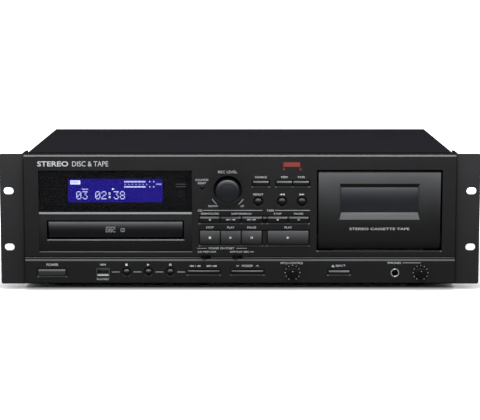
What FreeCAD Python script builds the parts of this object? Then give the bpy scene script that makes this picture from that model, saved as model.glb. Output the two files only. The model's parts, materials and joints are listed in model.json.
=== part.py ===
import FreeCAD, Part
import math
import os
import Sketcher

# A compact disc player and cassette deck for a 19 inch rack, three units high.
# X runs to the right, Y to the back and Z up, in millimetres. The origin is on the surface
# that the feet stand on, below the middle of the whole depth. Heights whose name has no
# other base are counted from the middle of the front panel, as are all places along X.

SIZES = [
    # case
    ("panel_width", 432, "moulded front panel, side to side"),
    ("panel_height", 132, "three rack units less the room to fit them"),
    ("case_depth", 281, "face of the front panel to face of the rear panel"),
    ("knob_reach", 13.5, "recording level knob in front of the panel face"),
    ("socket_reach", 5.5, "line sockets behind the rear panel"),
    ("sheet", 1.2, "steel of the case"),
    ("fit_gap", 0.3, "room between pieces that stay still"),
    ("run_gap", 0.4, "room round a piece that moves"),
    ("foot_height", 6, "rubber foot"),
    ("foot_radius", 12, "rubber foot at its top"),
    ("foot_taper", 2, "how much the foot narrows to the floor"),
    ("foot_inset_x", 34, "foot centre from the panel's end"),
    ("foot_inset_y", 40, "foot centre from the front and rear face"),
    ("cover_bend", 3, "outer bend of the cover"),
    ("cover_lip", 10, "cover's folded rear lip"),
    ("chassis_side", 18, "folded side of the chassis"),
    ("vent_place", 60, "middle of the vents from the middle of the case and from its rear"),
    ("vent_length", 70, "vents of the chassis"),
    ("vent_width", 4, "vents of the chassis"),
    ("vent_pitch", 9, "vents of the chassis"),
    # rack ears
    ("ear_sheet", 2.5, "steel of the ears"),
    ("ear_width", 25.3, "rack ear past the case"),
    ("ear_setback", 6, "ear face behind the panel face"),
    ("ear_bend", 3, "outer bend of an ear"),
    ("ear_depth", 34, "folded side of an ear"),
    ("slot_edge", 8.75, "middle of a rack slot from the ear's outer edge"),
    ("slot_rise", 57.15, "rack slots, lower to upper"),
    ("slot_length", 10, "rack slot, end to end"),
    ("slot_width", 7, "rack slot"),
    ("ear_corner", 2, "rounding of an ear's outer corners"),
    ("ear_screw", 2.2, "screw holes of an ear's folded side"),
    ("ear_screw_place", 22, "screw holes behind the ear face"),
    # front panel moulding
    ("rim_depth", 20, "rim of the moulding, face to back edge"),
    ("panel_wall", 3.5, "front wall"),
    ("panel_round", 1.5, "rounding of the panel's lower edges"),
    ("panel_bevel", 1.5, "bevelled upper edge of the panel"),
    ("panel_rise", 1.2, "panel's lower edge above the bottom of the case"),
    ("panel_drop", 0.6, "panel's upper edge below the cover"),
    ("band_step", 1.5, "lower band in front of the panel face"),
    ("ledge_low", -41.5, "foot of the sloping ledge"),
    ("ledge_high", -39.8, "top of the sloping ledge"),
    ("groove_low", -38, "lower edge of the groove"),
    ("groove_high", -36.8, "upper edge of the groove"),
    ("groove_depth", 0.8, "groove and disc field"),
    ("recess_depth", 1.2, "recess round a row of keys"),
    ("recess_margin", 1.3, "recess beyond its keys"),
    ("sill_room", 0.9, "recess below a slim key"),
    ("sill", 1.1, "bevelled lower edge of a recess"),
    ("lip", 0.5, "bevelled lower edge of the groove, the disc field and a dish"),
    ("boss_radius", 3.5, "screw boss behind the panel"),
    ("boss_inset", 8, "screw bosses from the panel's outline"),
    # display
    ("field_left", -201.8, "left edge of display and disc field"),
    ("field_right", -48.2, "right edge of display and disc field"),
    ("display_low", 7.7, "display pane"),
    ("display_high", 49.9, "display pane"),
    ("display_depth", 2, "seat of the display pane"),
    ("display_sill", 1.9, "bevelled lower edge of the display"),
    ("pane", 1.5, "display pane"),
    ("pane_seat", 6, "pane beyond the opening behind it"),
    ("screen_left", -172.4, "visible screen"),
    ("screen_right", -77.6, "visible screen"),
    ("screen_low", 17.5, "visible screen"),
    ("screen_high", 41.2, "visible screen"),
    ("screen_frame", 3.5, "metal frame round the screen"),
    ("screen_depth", 9, "display module"),
    # disc tray
    ("field_low", -32.2, "lower edge of the disc field"),
    ("field_high", 5.6, "upper edge of the disc field"),
    ("tray_middle", -125.1, "middle of the tray"),
    ("tray_slot_width", 137.8, "tray opening in the panel"),
    ("tray_slot_low", -19.9, "tray opening in the panel"),
    ("tray_slot_high", -0.5, "tray opening in the panel"),
    ("tray_slot_gap", 1.6, "round the tray front in its opening"),
    ("tray_front_wall", 4, "tray front"),
    ("tray_set_back", 1.6, "tray front behind the panel face"),
    ("edge_round", 0.8, "rounded front edges of the tray and the door"),
    ("tray_width", 128.6, "disc tray"),
    ("tray_length", 168, "disc tray"),
    ("tray_travel", 136, "stroke of the tray"),
    ("tray_top", -5, "top face of the tray"),
    ("tray_plate", 5, "floor of the tray"),
    ("tray_skirt", 10, "sides of the tray below its top"),
    ("tray_wall", 3, "sides of the tray"),
    ("disc_centre", 72, "disc centre behind the panel face"),
    ("disc_radius", 60, "large disc"),
    ("small_disc_radius", 40, "small disc"),
    ("disc_room", 0.6, "room round a disc in its recess"),
    ("large_recess", 1.6, "recess for the large disc"),
    ("small_recess", 2.6, "recess for the small disc"),
    ("hub_slot", 50, "opening for the turntable and pickup"),
    # disc loader
    ("loader_front", 16, "front end behind the panel face"),
    ("loader_back", 184, "rear end behind the panel face"),
    ("loader_floor", -22, "top of the loader floor"),
    ("loader_plate", 2, "loader floor"),
    ("loader_wall", 3, "loader sides"),
    ("loader_top", 4, "top of the loader sides"),
    ("rail", 2, "rails under the tray"),
    ("guide", 1.5, "guides over the tray"),
    ("guide_length", 18, "guides over the tray"),
    ("window_end", 3, "loader opening beyond the swinging frame"),
    ("bridge_width", 34, "beam that carries the clamper"),
    ("bridge_plate", 2.5, "beam that carries the clamper"),
    ("post_radius", 4, "posts under the loader"),
    ("post_front", 20, "front posts behind the loader's front"),
    ("post_rear", 10, "rear posts before the loader's end"),
    ("post_inset", 8, "posts from the loader's sides"),
    ("clamper_radius", 16, "clamper flange"),
    ("clamper_neck", 12, "clamper through the beam"),
    ("clamper_reach", -1.5, "lower face of the clamper"),
    ("clamper_room", 1, "hole of the beam round the clamper"),
    ("clamper_disc", 2, "clamper disc"),
    ("clamper_flange", 1.5, "clamper flange"),
    ("clamper_hollow", 1, "hollow of the clamper over the centring cone"),
    ("traverse_width", 46, "swinging frame"),
    ("traverse_top", -17, "top of the swinging frame"),
    ("traverse_plate", 3, "swinging frame"),
    ("traverse_end", 5, "swinging frame beyond its pivot and its motor"),
    ("traverse_room", 1, "room round the swinging frame, the turntable and the pickup"),
    ("rod_seat", 2, "ends of the guide rods in the frame"),
    ("traverse_pivot", 172, "pivot behind the panel face"),
    ("pivot_radius", 2, "pivot pins of the swinging frame"),
    ("lug_width", 10, "lugs that hold the pivot pins"),
    ("lug_wall", 2, "lugs over the pivot pins"),
    ("turntable_radius", 15, "disc seat"),
    ("turntable_top", -8.5, "disc seat"),
    ("turntable_hub", 5, "boss under the disc seat"),
    ("turntable_plate", 2.2, "disc seat"),
    ("cone_side", 0.6, "straight side of the centring cone"),
    ("cone_inset", 1.4, "taper of the centring cone"),
    ("cone_rise", 1.7, "centring cone"),
    ("hub_radius", 7.4, "centring cone"),
    ("spindle_radius", 1.5, "turntable spindle"),
    ("shaft_gap", 0.08, "running fit of a shaft"),
    ("spindle_motor_radius", 13, "motor under the turntable"),
    ("motor_wall", 1.5, "bottom of the spindle motor"),
    ("pickup_width", 34, "laser pickup"),
    ("pickup_length", 24, "laser pickup"),
    ("pickup_under", 6, "pickup below the frame's top"),
    ("pickup_over", 3.6, "pickup over the frame's top"),
    ("pickup_travel", 34, "laser pickup"),
    ("guide_radius", 1.5, "guide rods of the pickup"),
    ("guide_spread", 26, "between the guide rods"),
    ("lens_radius", 3.5, "pickup lens"),
    ("lens_rise", 1.4, "lens ring"),
    ("lens_depth", 0.4, "lens in its ring"),
    ("gear_module", 1.25, "rack and loading gear"),
    ("gear_teeth", 20, "loading gear"),
    ("gear_height", 4, "loading gear and rack"),
    ("gear_hub", 4.5, "hub of the loading gear"),
    ("tooth_sink", 0.4, "root of a tooth inside the gear's disc"),
    ("gear_place", 30, "gear centre behind the panel face"),
    ("backlash", 0.2, "thinning of each tooth flank"),
    # keys
    ("keypad_left", -40.1, "left end of the key rows"),
    ("key_width", 19.8, "one key"),
    ("key_gap", 1.2, "between keys"),
    ("divider_width", 3.8, "bar between disc and tape keys"),
    ("slim_low", -2.4, "slim row"),
    ("slim_high", 3.3, "slim row"),
    ("main_low", -24.5, "large row"),
    ("main_high", -11, "large row"),
    ("key_proud", 1.6, "key face in front of the panel"),
    ("key_lean", 0.9, "upper edge of a large key behind its lower edge"),
    ("key_crown", 30, "radius of a large key's face"),
    ("key_edge", 0.3, "bevelled ends of a key"),
    ("key_bevel", 1.8, "height of the sloping top of a slim key"),
    ("key_fall", 1.4, "upper edge of a slim key behind its ridge"),
    ("key_under", 1.2, "lower edge of a slim key behind its ridge"),
    ("key_flange", 1, "stop flange behind the panel wall"),
    ("key_stem", 4, "square stem to the switch"),
    ("key_travel", 1.2, "stroke of a key"),
    ("source_left", 13, "source key"),
    ("source_width", 15.7, "source key"),
    ("record_left", 36.5, "first recording key"),
    ("record_width", 15.6, "recording keys"),
    ("upper_low", 34.9, "source and recording keys"),
    ("upper_high", 39.4, "source and recording keys"),
    ("power_left", -202.9, "power button"),
    ("power_width", 27.3, "power button"),
    ("power_low", -56, "power button"),
    ("power_high", -49.8, "power button"),
    ("eject_left", 89.1, "eject button"),
    ("eject_width", 21.2, "eject button"),
    ("rocker_low", -54.5, "rockers and eject button"),
    ("rocker_high", -51, "rockers and eject button"),
    ("rocker_width", 32, "rockers"),
    ("rocker_proud", 0.8, "ends of a rocker in front of the band"),
    ("rocker_bow", 144, "radius of a rocker's face"),
    ("rocker_bevel", 0.9, "bevelled upper edge of a rocker"),
    ("rocker_under", 1.5, "bevelled lower edge of a rocker"),
    ("rocker_spread", 19.2, "key switches under a rocker"),
    ("rocker_stem", 2, "stems of a rocker"),
    ("skip_centre", -36.4, "skip rocker"),
    ("folder_centre", 7.5, "folder rocker"),
    ("dot_radius", 3.3, "small round buttons"),
    ("dot_proud", 2.2, "small round buttons"),
    ("dot_dish", 1.6, "dish round a small button"),
    ("dot_crown", 1.2, "rise of a small button's domed face"),
    ("wind_height", 18.4, "repeat and winding buttons"),
    ("repeat_place", 18.3, "repeat button"),
    ("rewind_place", 42.1, "rewind button"),
    ("forward_place", 62.1, "fast forward button"),
    ("wind_radius", 3.5, "winding buttons"),
    ("memory_height", -52.7, "memory transport buttons"),
    ("memory_radius", 2.8, "memory transport buttons"),
    ("memory_first", -114.2, "first memory button"),
    ("memory_pitch", 22, "memory buttons"),
    ("reset_place", -38, "counter reset button"),
    ("reset_height", 33.1, "counter reset button"),
    ("reset_radius", 1.8, "counter reset button"),
    ("reset_crown", 0.5, "rise of the counter reset button's face"),
    ("mode_low", -39.6, "slide switch windows"),
    ("mode_high", -36, "slide switch windows"),
    ("mode_window", 10, "slide switch windows"),
    ("mode_knob", 3.4, "slide switch actuators"),
    ("mode_plate", 3, "slide switch plate beyond its window at each end"),
    ("mode_case", 3, "depth of a slide switch on the board"),
    ("mode_grip", 0.4, "grips on a slide switch"),
    ("mode_pitch", 1.2, "grips on a slide switch"),
    ("mode_rest", -1.9, "slide switch at rest, off the middle of its window"),
    ("timer_place", -34.2, "power-on switch"),
    ("noise_place", -2.5, "tape switch"),
    # knobs and sockets
    ("level_place", -12.3, "recording level knob"),
    ("level_height", 30, "recording level knob"),
    ("level_radius", 11.8, "recording level knob"),
    ("level_dish", 14.5, "dish round the level knob"),
    ("level_dish_depth", 2, "dish round the level knob"),
    ("level_shaft", 3, "shaft of the level knob"),
    ("level_round", 2.6, "rounded front edge of the level knob"),
    ("level_wall", 2, "wall of the level knob"),
    ("level_hollow", 6, "hollow behind the level knob's face"),
    ("level_cap", 8.2, "shallow cap in the level knob's face"),
    ("level_cap_depth", 0.5, "shallow cap in the level knob's face"),
    ("level_rib", 1.6, "rib across the level knob's hollow"),
    ("trim_radius", 5.6, "pitch and phones knobs"),
    ("trim_reach", 7.5, "pitch and phones knobs before the band"),
    ("trim_height", -53.4, "pitch and phones knobs"),
    ("trim_shaft", 2, "shafts of the small knobs"),
    ("trim_edge", 0.6, "bevelled front edge of the small knobs"),
    ("flute", 0.65, "flutes round the small knobs"),
    ("flute_place", 5.95, "flutes round the small knobs"),
    ("flute_end", 1.5, "plain end of the small knobs"),
    ("shaft_room", 1, "panel holes round the shafts"),
    ("shaft_end", 1, "shaft ends in front of the board"),
    ("pitch_place", 52.9, "pitch knob"),
    ("phones_place", 181.8, "phones level knob"),
    ("jack_place", 155.9, "headphone socket"),
    ("jack_bore", 3.2, "headphone socket"),
    ("jack_collar", 4.6, "headphone socket ring"),
    ("jack_lip", 1, "headphone socket ring in front of the band"),
    ("jack_edge", 0.6, "bevelled mouth of the headphone socket"),
    ("jack_case_width", 15.6, "case of the headphone socket"),
    ("jack_case_height", 13.8, "case of the headphone socket"),
    ("jack_depth", 17, "headphone socket"),
    ("port_place", -137.9, "memory stick port"),
    ("port_height", -52.9, "memory stick port"),
    ("port_width", 13, "memory stick port"),
    ("port_rise", 8, "memory stick port"),
    ("port_shell", 0.5, "metal of the port"),
    ("port_tongue", 1.8, "contact tongue of the port"),
    ("port_tongue_place", 0.4, "contact tongue above the shell"),
    ("port_tongue_back", 0.6, "contact tongue behind the port's mouth"),
    ("port_depth", 14, "memory stick port"),
    ("port_back", 2, "rear wall of the port"),
    # boards
    ("board_place", 17.1, "front board behind the panel face"),
    ("board", 1.6, "circuit boards"),
    ("switch_size", 6, "key switch on the board"),
    ("switch_height", 3.5, "key switch on the board"),
    ("plunger", 1, "plunger of a key switch"),
    ("plunger_size", 2.6, "plunger of a key switch"),
    ("board_margin", 1, "board inside the panel moulding"),
    ("control_depth", 7, "level controls on the board"),
    ("control_size", 16, "recording level control"),
    ("trim_control_size", 10, "pitch and phones controls"),
    ("bush_wall", 1.6, "bushes round the shafts"),
    ("bush_place", 3, "bushes behind the panel wall"),
    # cassette door
    ("door_left", 76.9, "door opening"),
    ("door_right", 202.8, "door opening"),
    ("door_low", -31.3, "door opening"),
    ("door_high", 50.5, "door opening"),
    ("door_gap", 1.8, "round the door in its opening"),
    ("door_plate", 3, "door wall"),
    ("door_pivot", -20, "height of the door pivots"),
    ("door_bend", 14, "radius of the door's curved foot about its pivots"),
    ("door_foot", -30.9, "lower edge of the curved foot"),
    ("pivot_pin", 2, "pivot pins of the door"),
    ("pin_length", 2, "pivot pins of the door"),
    ("cheek", 2, "cheeks that carry the pivot pins"),
    ("cheek_rise", 46, "cheeks above the pivots"),
    ("cheek_edge", 4, "cheeks round the pivots"),
    ("window_left", 99.8, "sloping window surround"),
    ("window_right", 180.1, "sloping window surround"),
    ("window_low", 0.4, "sloping window surround"),
    ("window_high", 36.6, "sloping window surround"),
    ("window_slope_low", 6.9, "lower slope of the surround"),
    ("window_slope_high", 4, "upper slope of the surround"),
    ("window_slope_side", 1.6, "side slopes of the surround"),
    ("window_pane", 1.2, "door window"),
    ("window_seat", 1.5, "seat round the door window"),
    ("cassette_width", 100.4, "cassette"),
    ("cassette_height", 63.8, "cassette"),
    ("cassette_depth", 12, "cassette"),
    ("cassette_low", -22, "lower edge of the cassette"),
    ("cassette_room", 0.6, "room round the cassette"),
    ("holder_wall", 1.6, "cassette holder"),
    ("holder_height", 54, "cassette holder"),
    ("holder_lip", 5, "lips behind the cassette"),
    ("holder_ledge", 12, "ledges under the cassette"),
    # tape mechanism
    ("deck_place", 22.5, "deck plate behind the panel face"),
    ("deck_sheet", 1.6, "deck plate"),
    ("deck_drop", 4, "top of the deck plate below the door opening"),
    ("deck_foot", 18, "foot of the deck plate"),
    ("deck_corner", 3, "corners of the deck plate"),
    ("arm_root", 12, "half height of an arm at the plate"),
    ("arm_end", 4, "half height of an arm at the pivot"),
    ("arm_reach", 3, "arm in front of the pivot"),
    ("sight_drop", 18, "lamp hole below the door opening's top"),
    ("sight_radius", 7, "lamp hole"),
    ("motor_place", 30, "capstan motor left of the cassette's middle"),
    ("motor_height", -22, "capstan motor"),
    ("motor_radius", 17, "capstan motor"),
    ("motor_depth", 26, "capstan motor"),
    ("stud_place", 34, "studs of the head carriage from the middle"),
    ("stud_height", -38, "studs of the head carriage"),
    ("stud_radius", 1.5, "studs of the head carriage"),
    ("stud_end", 1.6, "studs in front of the head carriage"),
    ("hub_spread", 42.5, "reel hubs"),
    ("hub_height", 12, "reel hubs"),
    ("hub_shaft", 2.4, "reel hub pins"),
    ("hub_flange", 9, "reel hub flanges"),
    ("hub_reach", 11, "reel hubs in front of the deck plate"),
    ("hub_end", 4, "hub pins behind the deck plate"),
    ("hub_disc", 1.6, "drive discs behind the deck plate"),
    ("hub_disc_radius", 12, "drive discs behind the deck plate"),
    ("hub_plate", 2, "reel hub flanges"),
    ("hub_sleeve", 0.8, "sleeve round a hub pin"),
    ("hub_nose", 1.6, "bare nose of a hub pin"),
    ("hub_rib", 1.2, "ribs that turn the reel"),
    ("hub_rib_reach", 2, "ribs beyond the pin"),
    ("capstan_place", 22.6, "capstan from the cassette's middle"),
    ("capstan_height", -13, "capstan"),
    ("capstan_radius", 1.2, "capstan"),
    ("capstan_tip", 5, "capstan in front of the door pivots"),
    ("flywheel_radius", 21, "flywheel"),
    ("flywheel", 6, "flywheel"),
    ("flywheel_gap", 2.6, "flywheel behind the deck plate"),
    ("flywheel_boss", 4, "boss of the flywheel"),
    ("flywheel_web", 2, "web of the flywheel"),
    ("flywheel_rim", 4, "rim of the flywheel"),
    ("flywheel_end", 1, "boss behind the flywheel"),
    ("head_travel", 6, "lift of the head block"),
    ("carriage", 1.28, "head carriage"),
    ("carriage_width", 92, "head carriage"),
    ("carriage_low", -46, "head carriage"),
    ("carriage_high", -24.5, "head carriage"),
    ("head_reach", 7.2, "heads in front of the door pivots"),
    ("head_width", 15, "recording head"),
    ("head_low", -27.4, "heads"),
    ("erase_width", 8, "erase head"),
    ("erase_place", 16, "erase head left of the middle"),
    ("erase_drop", 0.5, "erase head below the recording head"),
    ("axle_reach", 3, "roller axle in front of the door pivots"),
    ("roller_arm", 1, "arm of the pinch roller"),
    ("roller_arm_width", 8, "arm of the pinch roller"),
    ("roller_arm_height", 9, "arm of the pinch roller"),
    ("roller_radius", 4.5, "pinch roller"),
    ("roller_width", 6, "pinch roller"),
    ("roller_place", 2.9, "roller in front of the door pivots"),
    ("roller_edge", 0.4, "bevelled edges of the roller"),
    # rear
    ("line_pitch", 14, "line sockets"),
    ("line_radius", 4.15, "line sockets"),
    ("line_rim", 1, "room round a line socket"),
    ("line_bore", 1.7, "centre contact of a line socket"),
    ("line_first", 60, "first line socket"),
    ("line_height", -10, "lower row of line sockets"),
    ("line_edge", 8, "socket block beyond the socket centres"),
    ("line_case", 14, "depth of the socket block"),
    ("inlet_place", -170, "power inlet"),
    ("inlet_height", -30, "power inlet"),
    ("inlet_width", 27.5, "power inlet"),
    ("inlet_rise", 20, "power inlet"),
    ("inlet_edge", 2, "wall and flange of the inlet"),
    ("inlet_depth", 16, "mouth of the inlet"),
    ("inlet_pin", 2, "thickness of the inlet's pins"),
    ("inlet_spread", 7, "outer pins from the middle one"),
    ("core_place", -166, "power transformer"),
    ("core_behind", 62, "transformer's middle from the rear panel face"),
    ("core_width", 58, "laminations"),
    ("core_depth", 50, "laminations"),
    ("core_height", 48, "laminations"),
    ("core_foot", 3, "transformer's mounting strap"),
    ("coil_width", 34, "winding"),
    ("coil_depth", 64, "winding"),
    ("coil_inset", 8, "winding inside the laminations"),
    ("main_left", -20, "main board"),
    ("main_right", 196, "main board"),
    ("main_front", 74.5, "main board behind the panel face"),
    ("main_back", 32.5, "main board before the rear panel face"),
    ("standoff", 8, "posts under the main board"),
    ("post_size", 6, "posts under the main board"),
    ("can_pitch", 20, "smoothing capacitors"),
    ("can_inset", 30, "smoothing capacitors from the board's rear edge"),
    ("can_radius", 8, "smoothing capacitors"),
    ("can_height", 28, "smoothing capacitors"),
    ("fin_height", 30, "heat sink"),
    ("fin_place", 70, "heat sink from the board's left edge"),
    ("fin_front", 30, "heat sink from the board's rear edge"),
    ("fin_back", 10, "heat sink from the board's rear edge"),
    ("fin_pitch", 5, "heat sink"),
    ("fin", 2, "heat sink"),
    ("chip", 22, "large chips"),
    ("chip_first", 80, "large chip from the board's left edge"),
    ("chip_second", 140, "large chip from the board's left edge"),
    ("plug_width", 30, "board plugs"),
    ("plug_first", 20, "board plug from the board's left edge"),
    ("plug_second", 70, "board plug from the board's left edge"),
    ("plug_third", 160, "board plug from the board's left edge"),
]

class Size:
    """A length with its value and the expression that ties it to the sheet."""

    def __init__(self, value, text):
        self.value = float(value)
        self.text = text

    @staticmethod
    def of(thing):
        if isinstance(thing, Size):
            return thing
        return Size(thing, "(%r)" % float(thing))

    def join(self, sign, other, value):
        return Size(value, "(%s %s %s)" % (self.text, sign, Size.of(other).text))

    def __add__(self, other):
        return self.join("+", other, self.value + Size.of(other).value)

    def __radd__(self, other):
        return Size.of(other) + self

    def __sub__(self, other):
        return self.join("-", other, self.value - Size.of(other).value)

    def __rsub__(self, other):
        return Size.of(other) - self

    def __mul__(self, other):
        return self.join("*", other, self.value * Size.of(other).value)

    def __rmul__(self, other):
        return Size.of(other) * self

    def __truediv__(self, other):
        return self.join("/", other, self.value / Size.of(other).value)

    def __neg__(self):
        return Size.of(0) - self

    def root(self):
        return Size(math.sqrt(self.value), "sqrt(%s)" % self.text)


class Table:
    """The spreadsheet's sizes by name."""


def make_sheet(document):
    sheet = document.addObject("Spreadsheet::Sheet", "Sizes")
    table = Table()
    for row, (alias, value, note) in enumerate(SIZES, start=1):
        sheet.set("A%d" % row, alias)
        sheet.set("B%d" % row, str(value))
        sheet.set("C%d" % row, note)
        sheet.setAlias("B%d" % row, alias)
        setattr(table, alias, Size(value, "Sizes." + alias))
    document.recompute()
    return table


DOC = FreeCAD.newDocument("RackDeck")
S = make_sheet(DOC)
V = FreeCAD.Vector
NORMAL = {"XY": 1, "XZ": -1, "YZ": 1}
PLANE = {}
NODES = []

# Places that several pieces share
FACE = S.knob_reach - (S.case_depth + S.knob_reach + S.socket_reach) / 2
BAND = FACE - S.band_step
REAR = FACE + S.case_depth
RIM = FACE + S.rim_depth
WALL = FACE + S.panel_wall
BOARD = FACE + S.board_place
SWITCH = BOARD - S.switch_height - S.plunger
STEM = SWITCH - S.key_travel - S.fit_gap
FLOOR = S.foot_height + S.sheet
MID = S.foot_height + S.panel_height / 2
TOP = S.foot_height + S.panel_height
PANEL_LOW = S.foot_height + S.panel_rise
PANEL_HIGH = TOP - S.panel_drop
HALF = S.panel_width / 2
EAR_END = HALF + S.ear_width
DISC_Y = FACE + S.disc_centre
DECK = FACE + S.deck_place
CASSETTE_X = (S.window_left + S.window_right) / 2
KEY_PITCH = S.key_width + S.key_gap
TAPE_LEFT = S.keypad_left + 3 * KEY_PITCH + S.divider_width + S.key_gap


def up(height):
    """Height above the floor of a height counted from the panel's middle."""
    return MID + height


def around(middle, width):
    return (middle - width / 2, middle + width / 2)


def bind(item, place, size):
    item.setExpression(place, Size.of(size).text)


def node(item, name):
    item.Label = name
    NODES.append(item)
    return item


# Part primitives and booleans

def block(x, y, z):
    item = DOC.addObject("Part::Box", "Block")
    for side, (low, high) in zip(("Length", "Width", "Height"), (x, y, z)):
        bind(item, side, Size.of(high) - low)
    for axis, span in zip("xyz", (x, y, z)):
        bind(item, "Placement.Base." + axis, span[0])
    return item


TURN = {"X": FreeCAD.Rotation(V(0, 1, 0), 90),
        "Y": FreeCAD.Rotation(V(1, 0, 0), -90),
        "Z": FreeCAD.Rotation()}


def rod(axis, centre, radius, span):
    """A round bar along one axis; centre gives the other two places in X, Y, Z order."""
    item = DOC.addObject("Part::Cylinder", "Rod")
    item.Placement = FreeCAD.Placement(V(), TURN[axis])
    bind(item, "Radius", radius)
    bind(item, "Height", Size.of(span[1]) - span[0])
    places = list(centre)
    places.insert("XYZ".index(axis), span[0])
    for letter, place in zip("xyz", places):
        bind(item, "Placement.Base." + letter, place)
    return item


def cone(axis, centre, low_radius, high_radius, span):
    item = DOC.addObject("Part::Cone", "Cone")
    item.Placement = FreeCAD.Placement(V(), TURN[axis])
    bind(item, "Radius1", low_radius)
    bind(item, "Radius2", high_radius)
    bind(item, "Height", Size.of(span[1]) - span[0])
    places = list(centre)
    places.insert("XYZ".index(axis), span[0])
    for letter, place in zip("xyz", places):
        bind(item, "Placement.Base." + letter, place)
    return item


def joined(pieces):
    item = DOC.addObject("Part::MultiFuse", "Joined")
    item.Shapes = pieces
    return item


def without(base, tools):
    item = DOC.addObject("Part::Cut", "Without")
    item.Base = base
    item.Tool = tools[0] if len(tools) == 1 else joined(tools)
    return item


# PartDesign bodies, sketches and features

def new_body(name):
    return node(DOC.addObject("PartDesign::Body", name), name)


def sketch(body, plane, at=0, shift=(0, 0)):
    """A sketch on one of the body's planes, moved to a place along the plane's normal."""
    item = body.newObject("Sketcher::SketchObject", "Outline")
    role = plane + "_Plane"
    origin = [part for part in body.Origin.OriginFeatures if part.Role == role][0]
    item.AttachmentSupport = [(origin, "")]
    item.MapMode = "FlatFace"
    for axis, size in zip("xyz", (shift[0], shift[1], Size.of(at) * NORMAL[plane])):
        bind(item, "AttachmentOffset.Base." + axis, size)
    PLANE[item.Name] = plane
    return item


def constrain(item, plain, driven):
    """Add constraints; each driven one is (constraint, size)."""
    item.addConstraint(plain + [constraint for constraint, size in driven])
    first = item.ConstraintCount - len(driven)
    for index, (constraint, size) in enumerate(driven, start=first):
        item.setExpression("Constraints[%d]" % index, size.text)


def place_point(geometry, end, x, y):
    """Constraints that put one point of a sketch at a place."""
    pairs = []
    for kind, size in (("DistanceX", Size.of(x)), ("DistanceY", Size.of(y))):
        pairs.append((Sketcher.Constraint(kind, -1, 1, geometry, end, size.value), size))
    return pairs


def rectangle(item, x, y):
    low = (Size.of(x[0]), Size.of(y[0]))
    high = (Size.of(x[1]), Size.of(y[1]))
    corners = [(low[0], low[1]), (high[0], low[1]), (high[0], high[1]), (low[0], high[1])]
    first = item.GeometryCount
    lines = []
    for index in range(4):
        start, stop = corners[index], corners[(index + 1) % 4]
        lines.append(Part.LineSegment(V(start[0].value, start[1].value, 0),
                                      V(stop[0].value, stop[1].value, 0)))
    item.addGeometry(lines, False)
    plain = [Sketcher.Constraint("Coincident", first + k, 2, first + (k + 1) % 4, 1)
             for k in range(4)]
    plain += [Sketcher.Constraint("Horizontal", first), Sketcher.Constraint("Horizontal", first + 2)]
    plain += [Sketcher.Constraint("Vertical", first + 1), Sketcher.Constraint("Vertical", first + 3)]
    constrain(item, plain, place_point(first, 1, *low) + place_point(first + 2, 1, *high))


def circle(item, x, y, radius):
    x, y, radius = Size.of(x), Size.of(y), Size.of(radius)
    index = item.addGeometry(Part.Circle(V(x.value, y.value, 0), V(0, 0, 1), radius.value), False)
    driven = place_point(index, 3, x, y)
    driven.append((Sketcher.Constraint("Radius", index, radius.value), radius))
    constrain(item, [], driven)


def arc_between(start, stop, radius):
    """The short arc from start to stop, turning left for a positive radius."""
    middle = (start + stop) / 2
    chord = stop - start
    height = math.sqrt(max(radius * radius - chord.Length ** 2 / 4, 0))
    left = V(-chord.y, chord.x, 0).normalize()
    centre = middle + left * (height if radius > 0 else -height)
    first, last = (start, stop) if radius > 0 else (stop, start)
    angle_1 = math.atan2(first.y - centre.y, first.x - centre.x)
    angle_2 = math.atan2(last.y - centre.y, last.x - centre.x)
    if angle_2 < angle_1:
        angle_2 += 2 * math.pi
    return Part.ArcOfCircle(Part.Circle(centre, V(0, 0, 1), abs(radius)), angle_1, angle_2)


def outline(item, points, bends=None):
    """A closed chain through the points, counter-clockwise. bends gives the radius of each
    edge that is an arc: positive where it bulges out and negative where it bulges in."""
    bends = {edge: Size.of(size) for edge, size in (bends or {}).items()}
    points = [(Size.of(x), Size.of(y)) for x, y in points]
    count = len(points)
    first = item.GeometryCount
    shapes, plain, driven = [], [], []
    for index in range(count):
        start, stop = points[index], points[(index + 1) % count]
        start = V(start[0].value, start[1].value, 0)
        stop = V(stop[0].value, stop[1].value, 0)
        if index in bends:
            shapes.append(arc_between(start, stop, bends[index].value))
        else:
            shapes.append(Part.LineSegment(start, stop))
    item.addGeometry(shapes, False)
    backwards = {index for index, size in bends.items() if size.value < 0}
    for index in range(count):
        after = (index + 1) % count
        plain.append(Sketcher.Constraint("Coincident", first + index, 1 if index in backwards else 2,
                                         first + after, 2 if after in backwards else 1))
    for index, (x, y) in enumerate(points):
        driven += place_point(first + index, 2 if index in backwards else 1, x, y)
    for index, size in bends.items():
        size = size if size.value > 0 else -size
        driven.append((Sketcher.Constraint("Radius", first + index, size.value), size))
    constrain(item, plain, driven)


def long_hole(item, x, y, length, width):
    """A slot along the sketch's X with round ends."""
    radius = Size.of(width) / 2
    ends = [Size.of(x) - (Size.of(length) - width) / 2, Size.of(x) + (Size.of(length) - width) / 2]
    y = Size.of(y)
    first = item.GeometryCount
    left, right = (V(end.value, y.value, 0) for end in ends)
    rise = V(0, radius.value, 0)
    quarter = math.pi / 2
    item.addGeometry([
        Part.ArcOfCircle(Part.Circle(left, V(0, 0, 1), radius.value), quarter, 3 * quarter),
        Part.LineSegment(left - rise, right - rise),
        Part.ArcOfCircle(Part.Circle(right, V(0, 0, 1), radius.value), -quarter, quarter),
        Part.LineSegment(right + rise, left + rise)], False)
    plain = [Sketcher.Constraint("Tangent", first + k, 2, first + (k + 1) % 4, 1) for k in range(4)]
    plain.append(Sketcher.Constraint("Equal", first, first + 2))
    driven = place_point(first, 3, ends[0], y)
    driven.append((Sketcher.Constraint("DistanceX", -1, 1, first + 2, 3, ends[1].value), ends[1]))
    plain.append(Sketcher.Constraint("Horizontal", first + 1))
    driven.append((Sketcher.Constraint("Radius", first, radius.value), radius))
    constrain(item, plain, driven)


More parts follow.
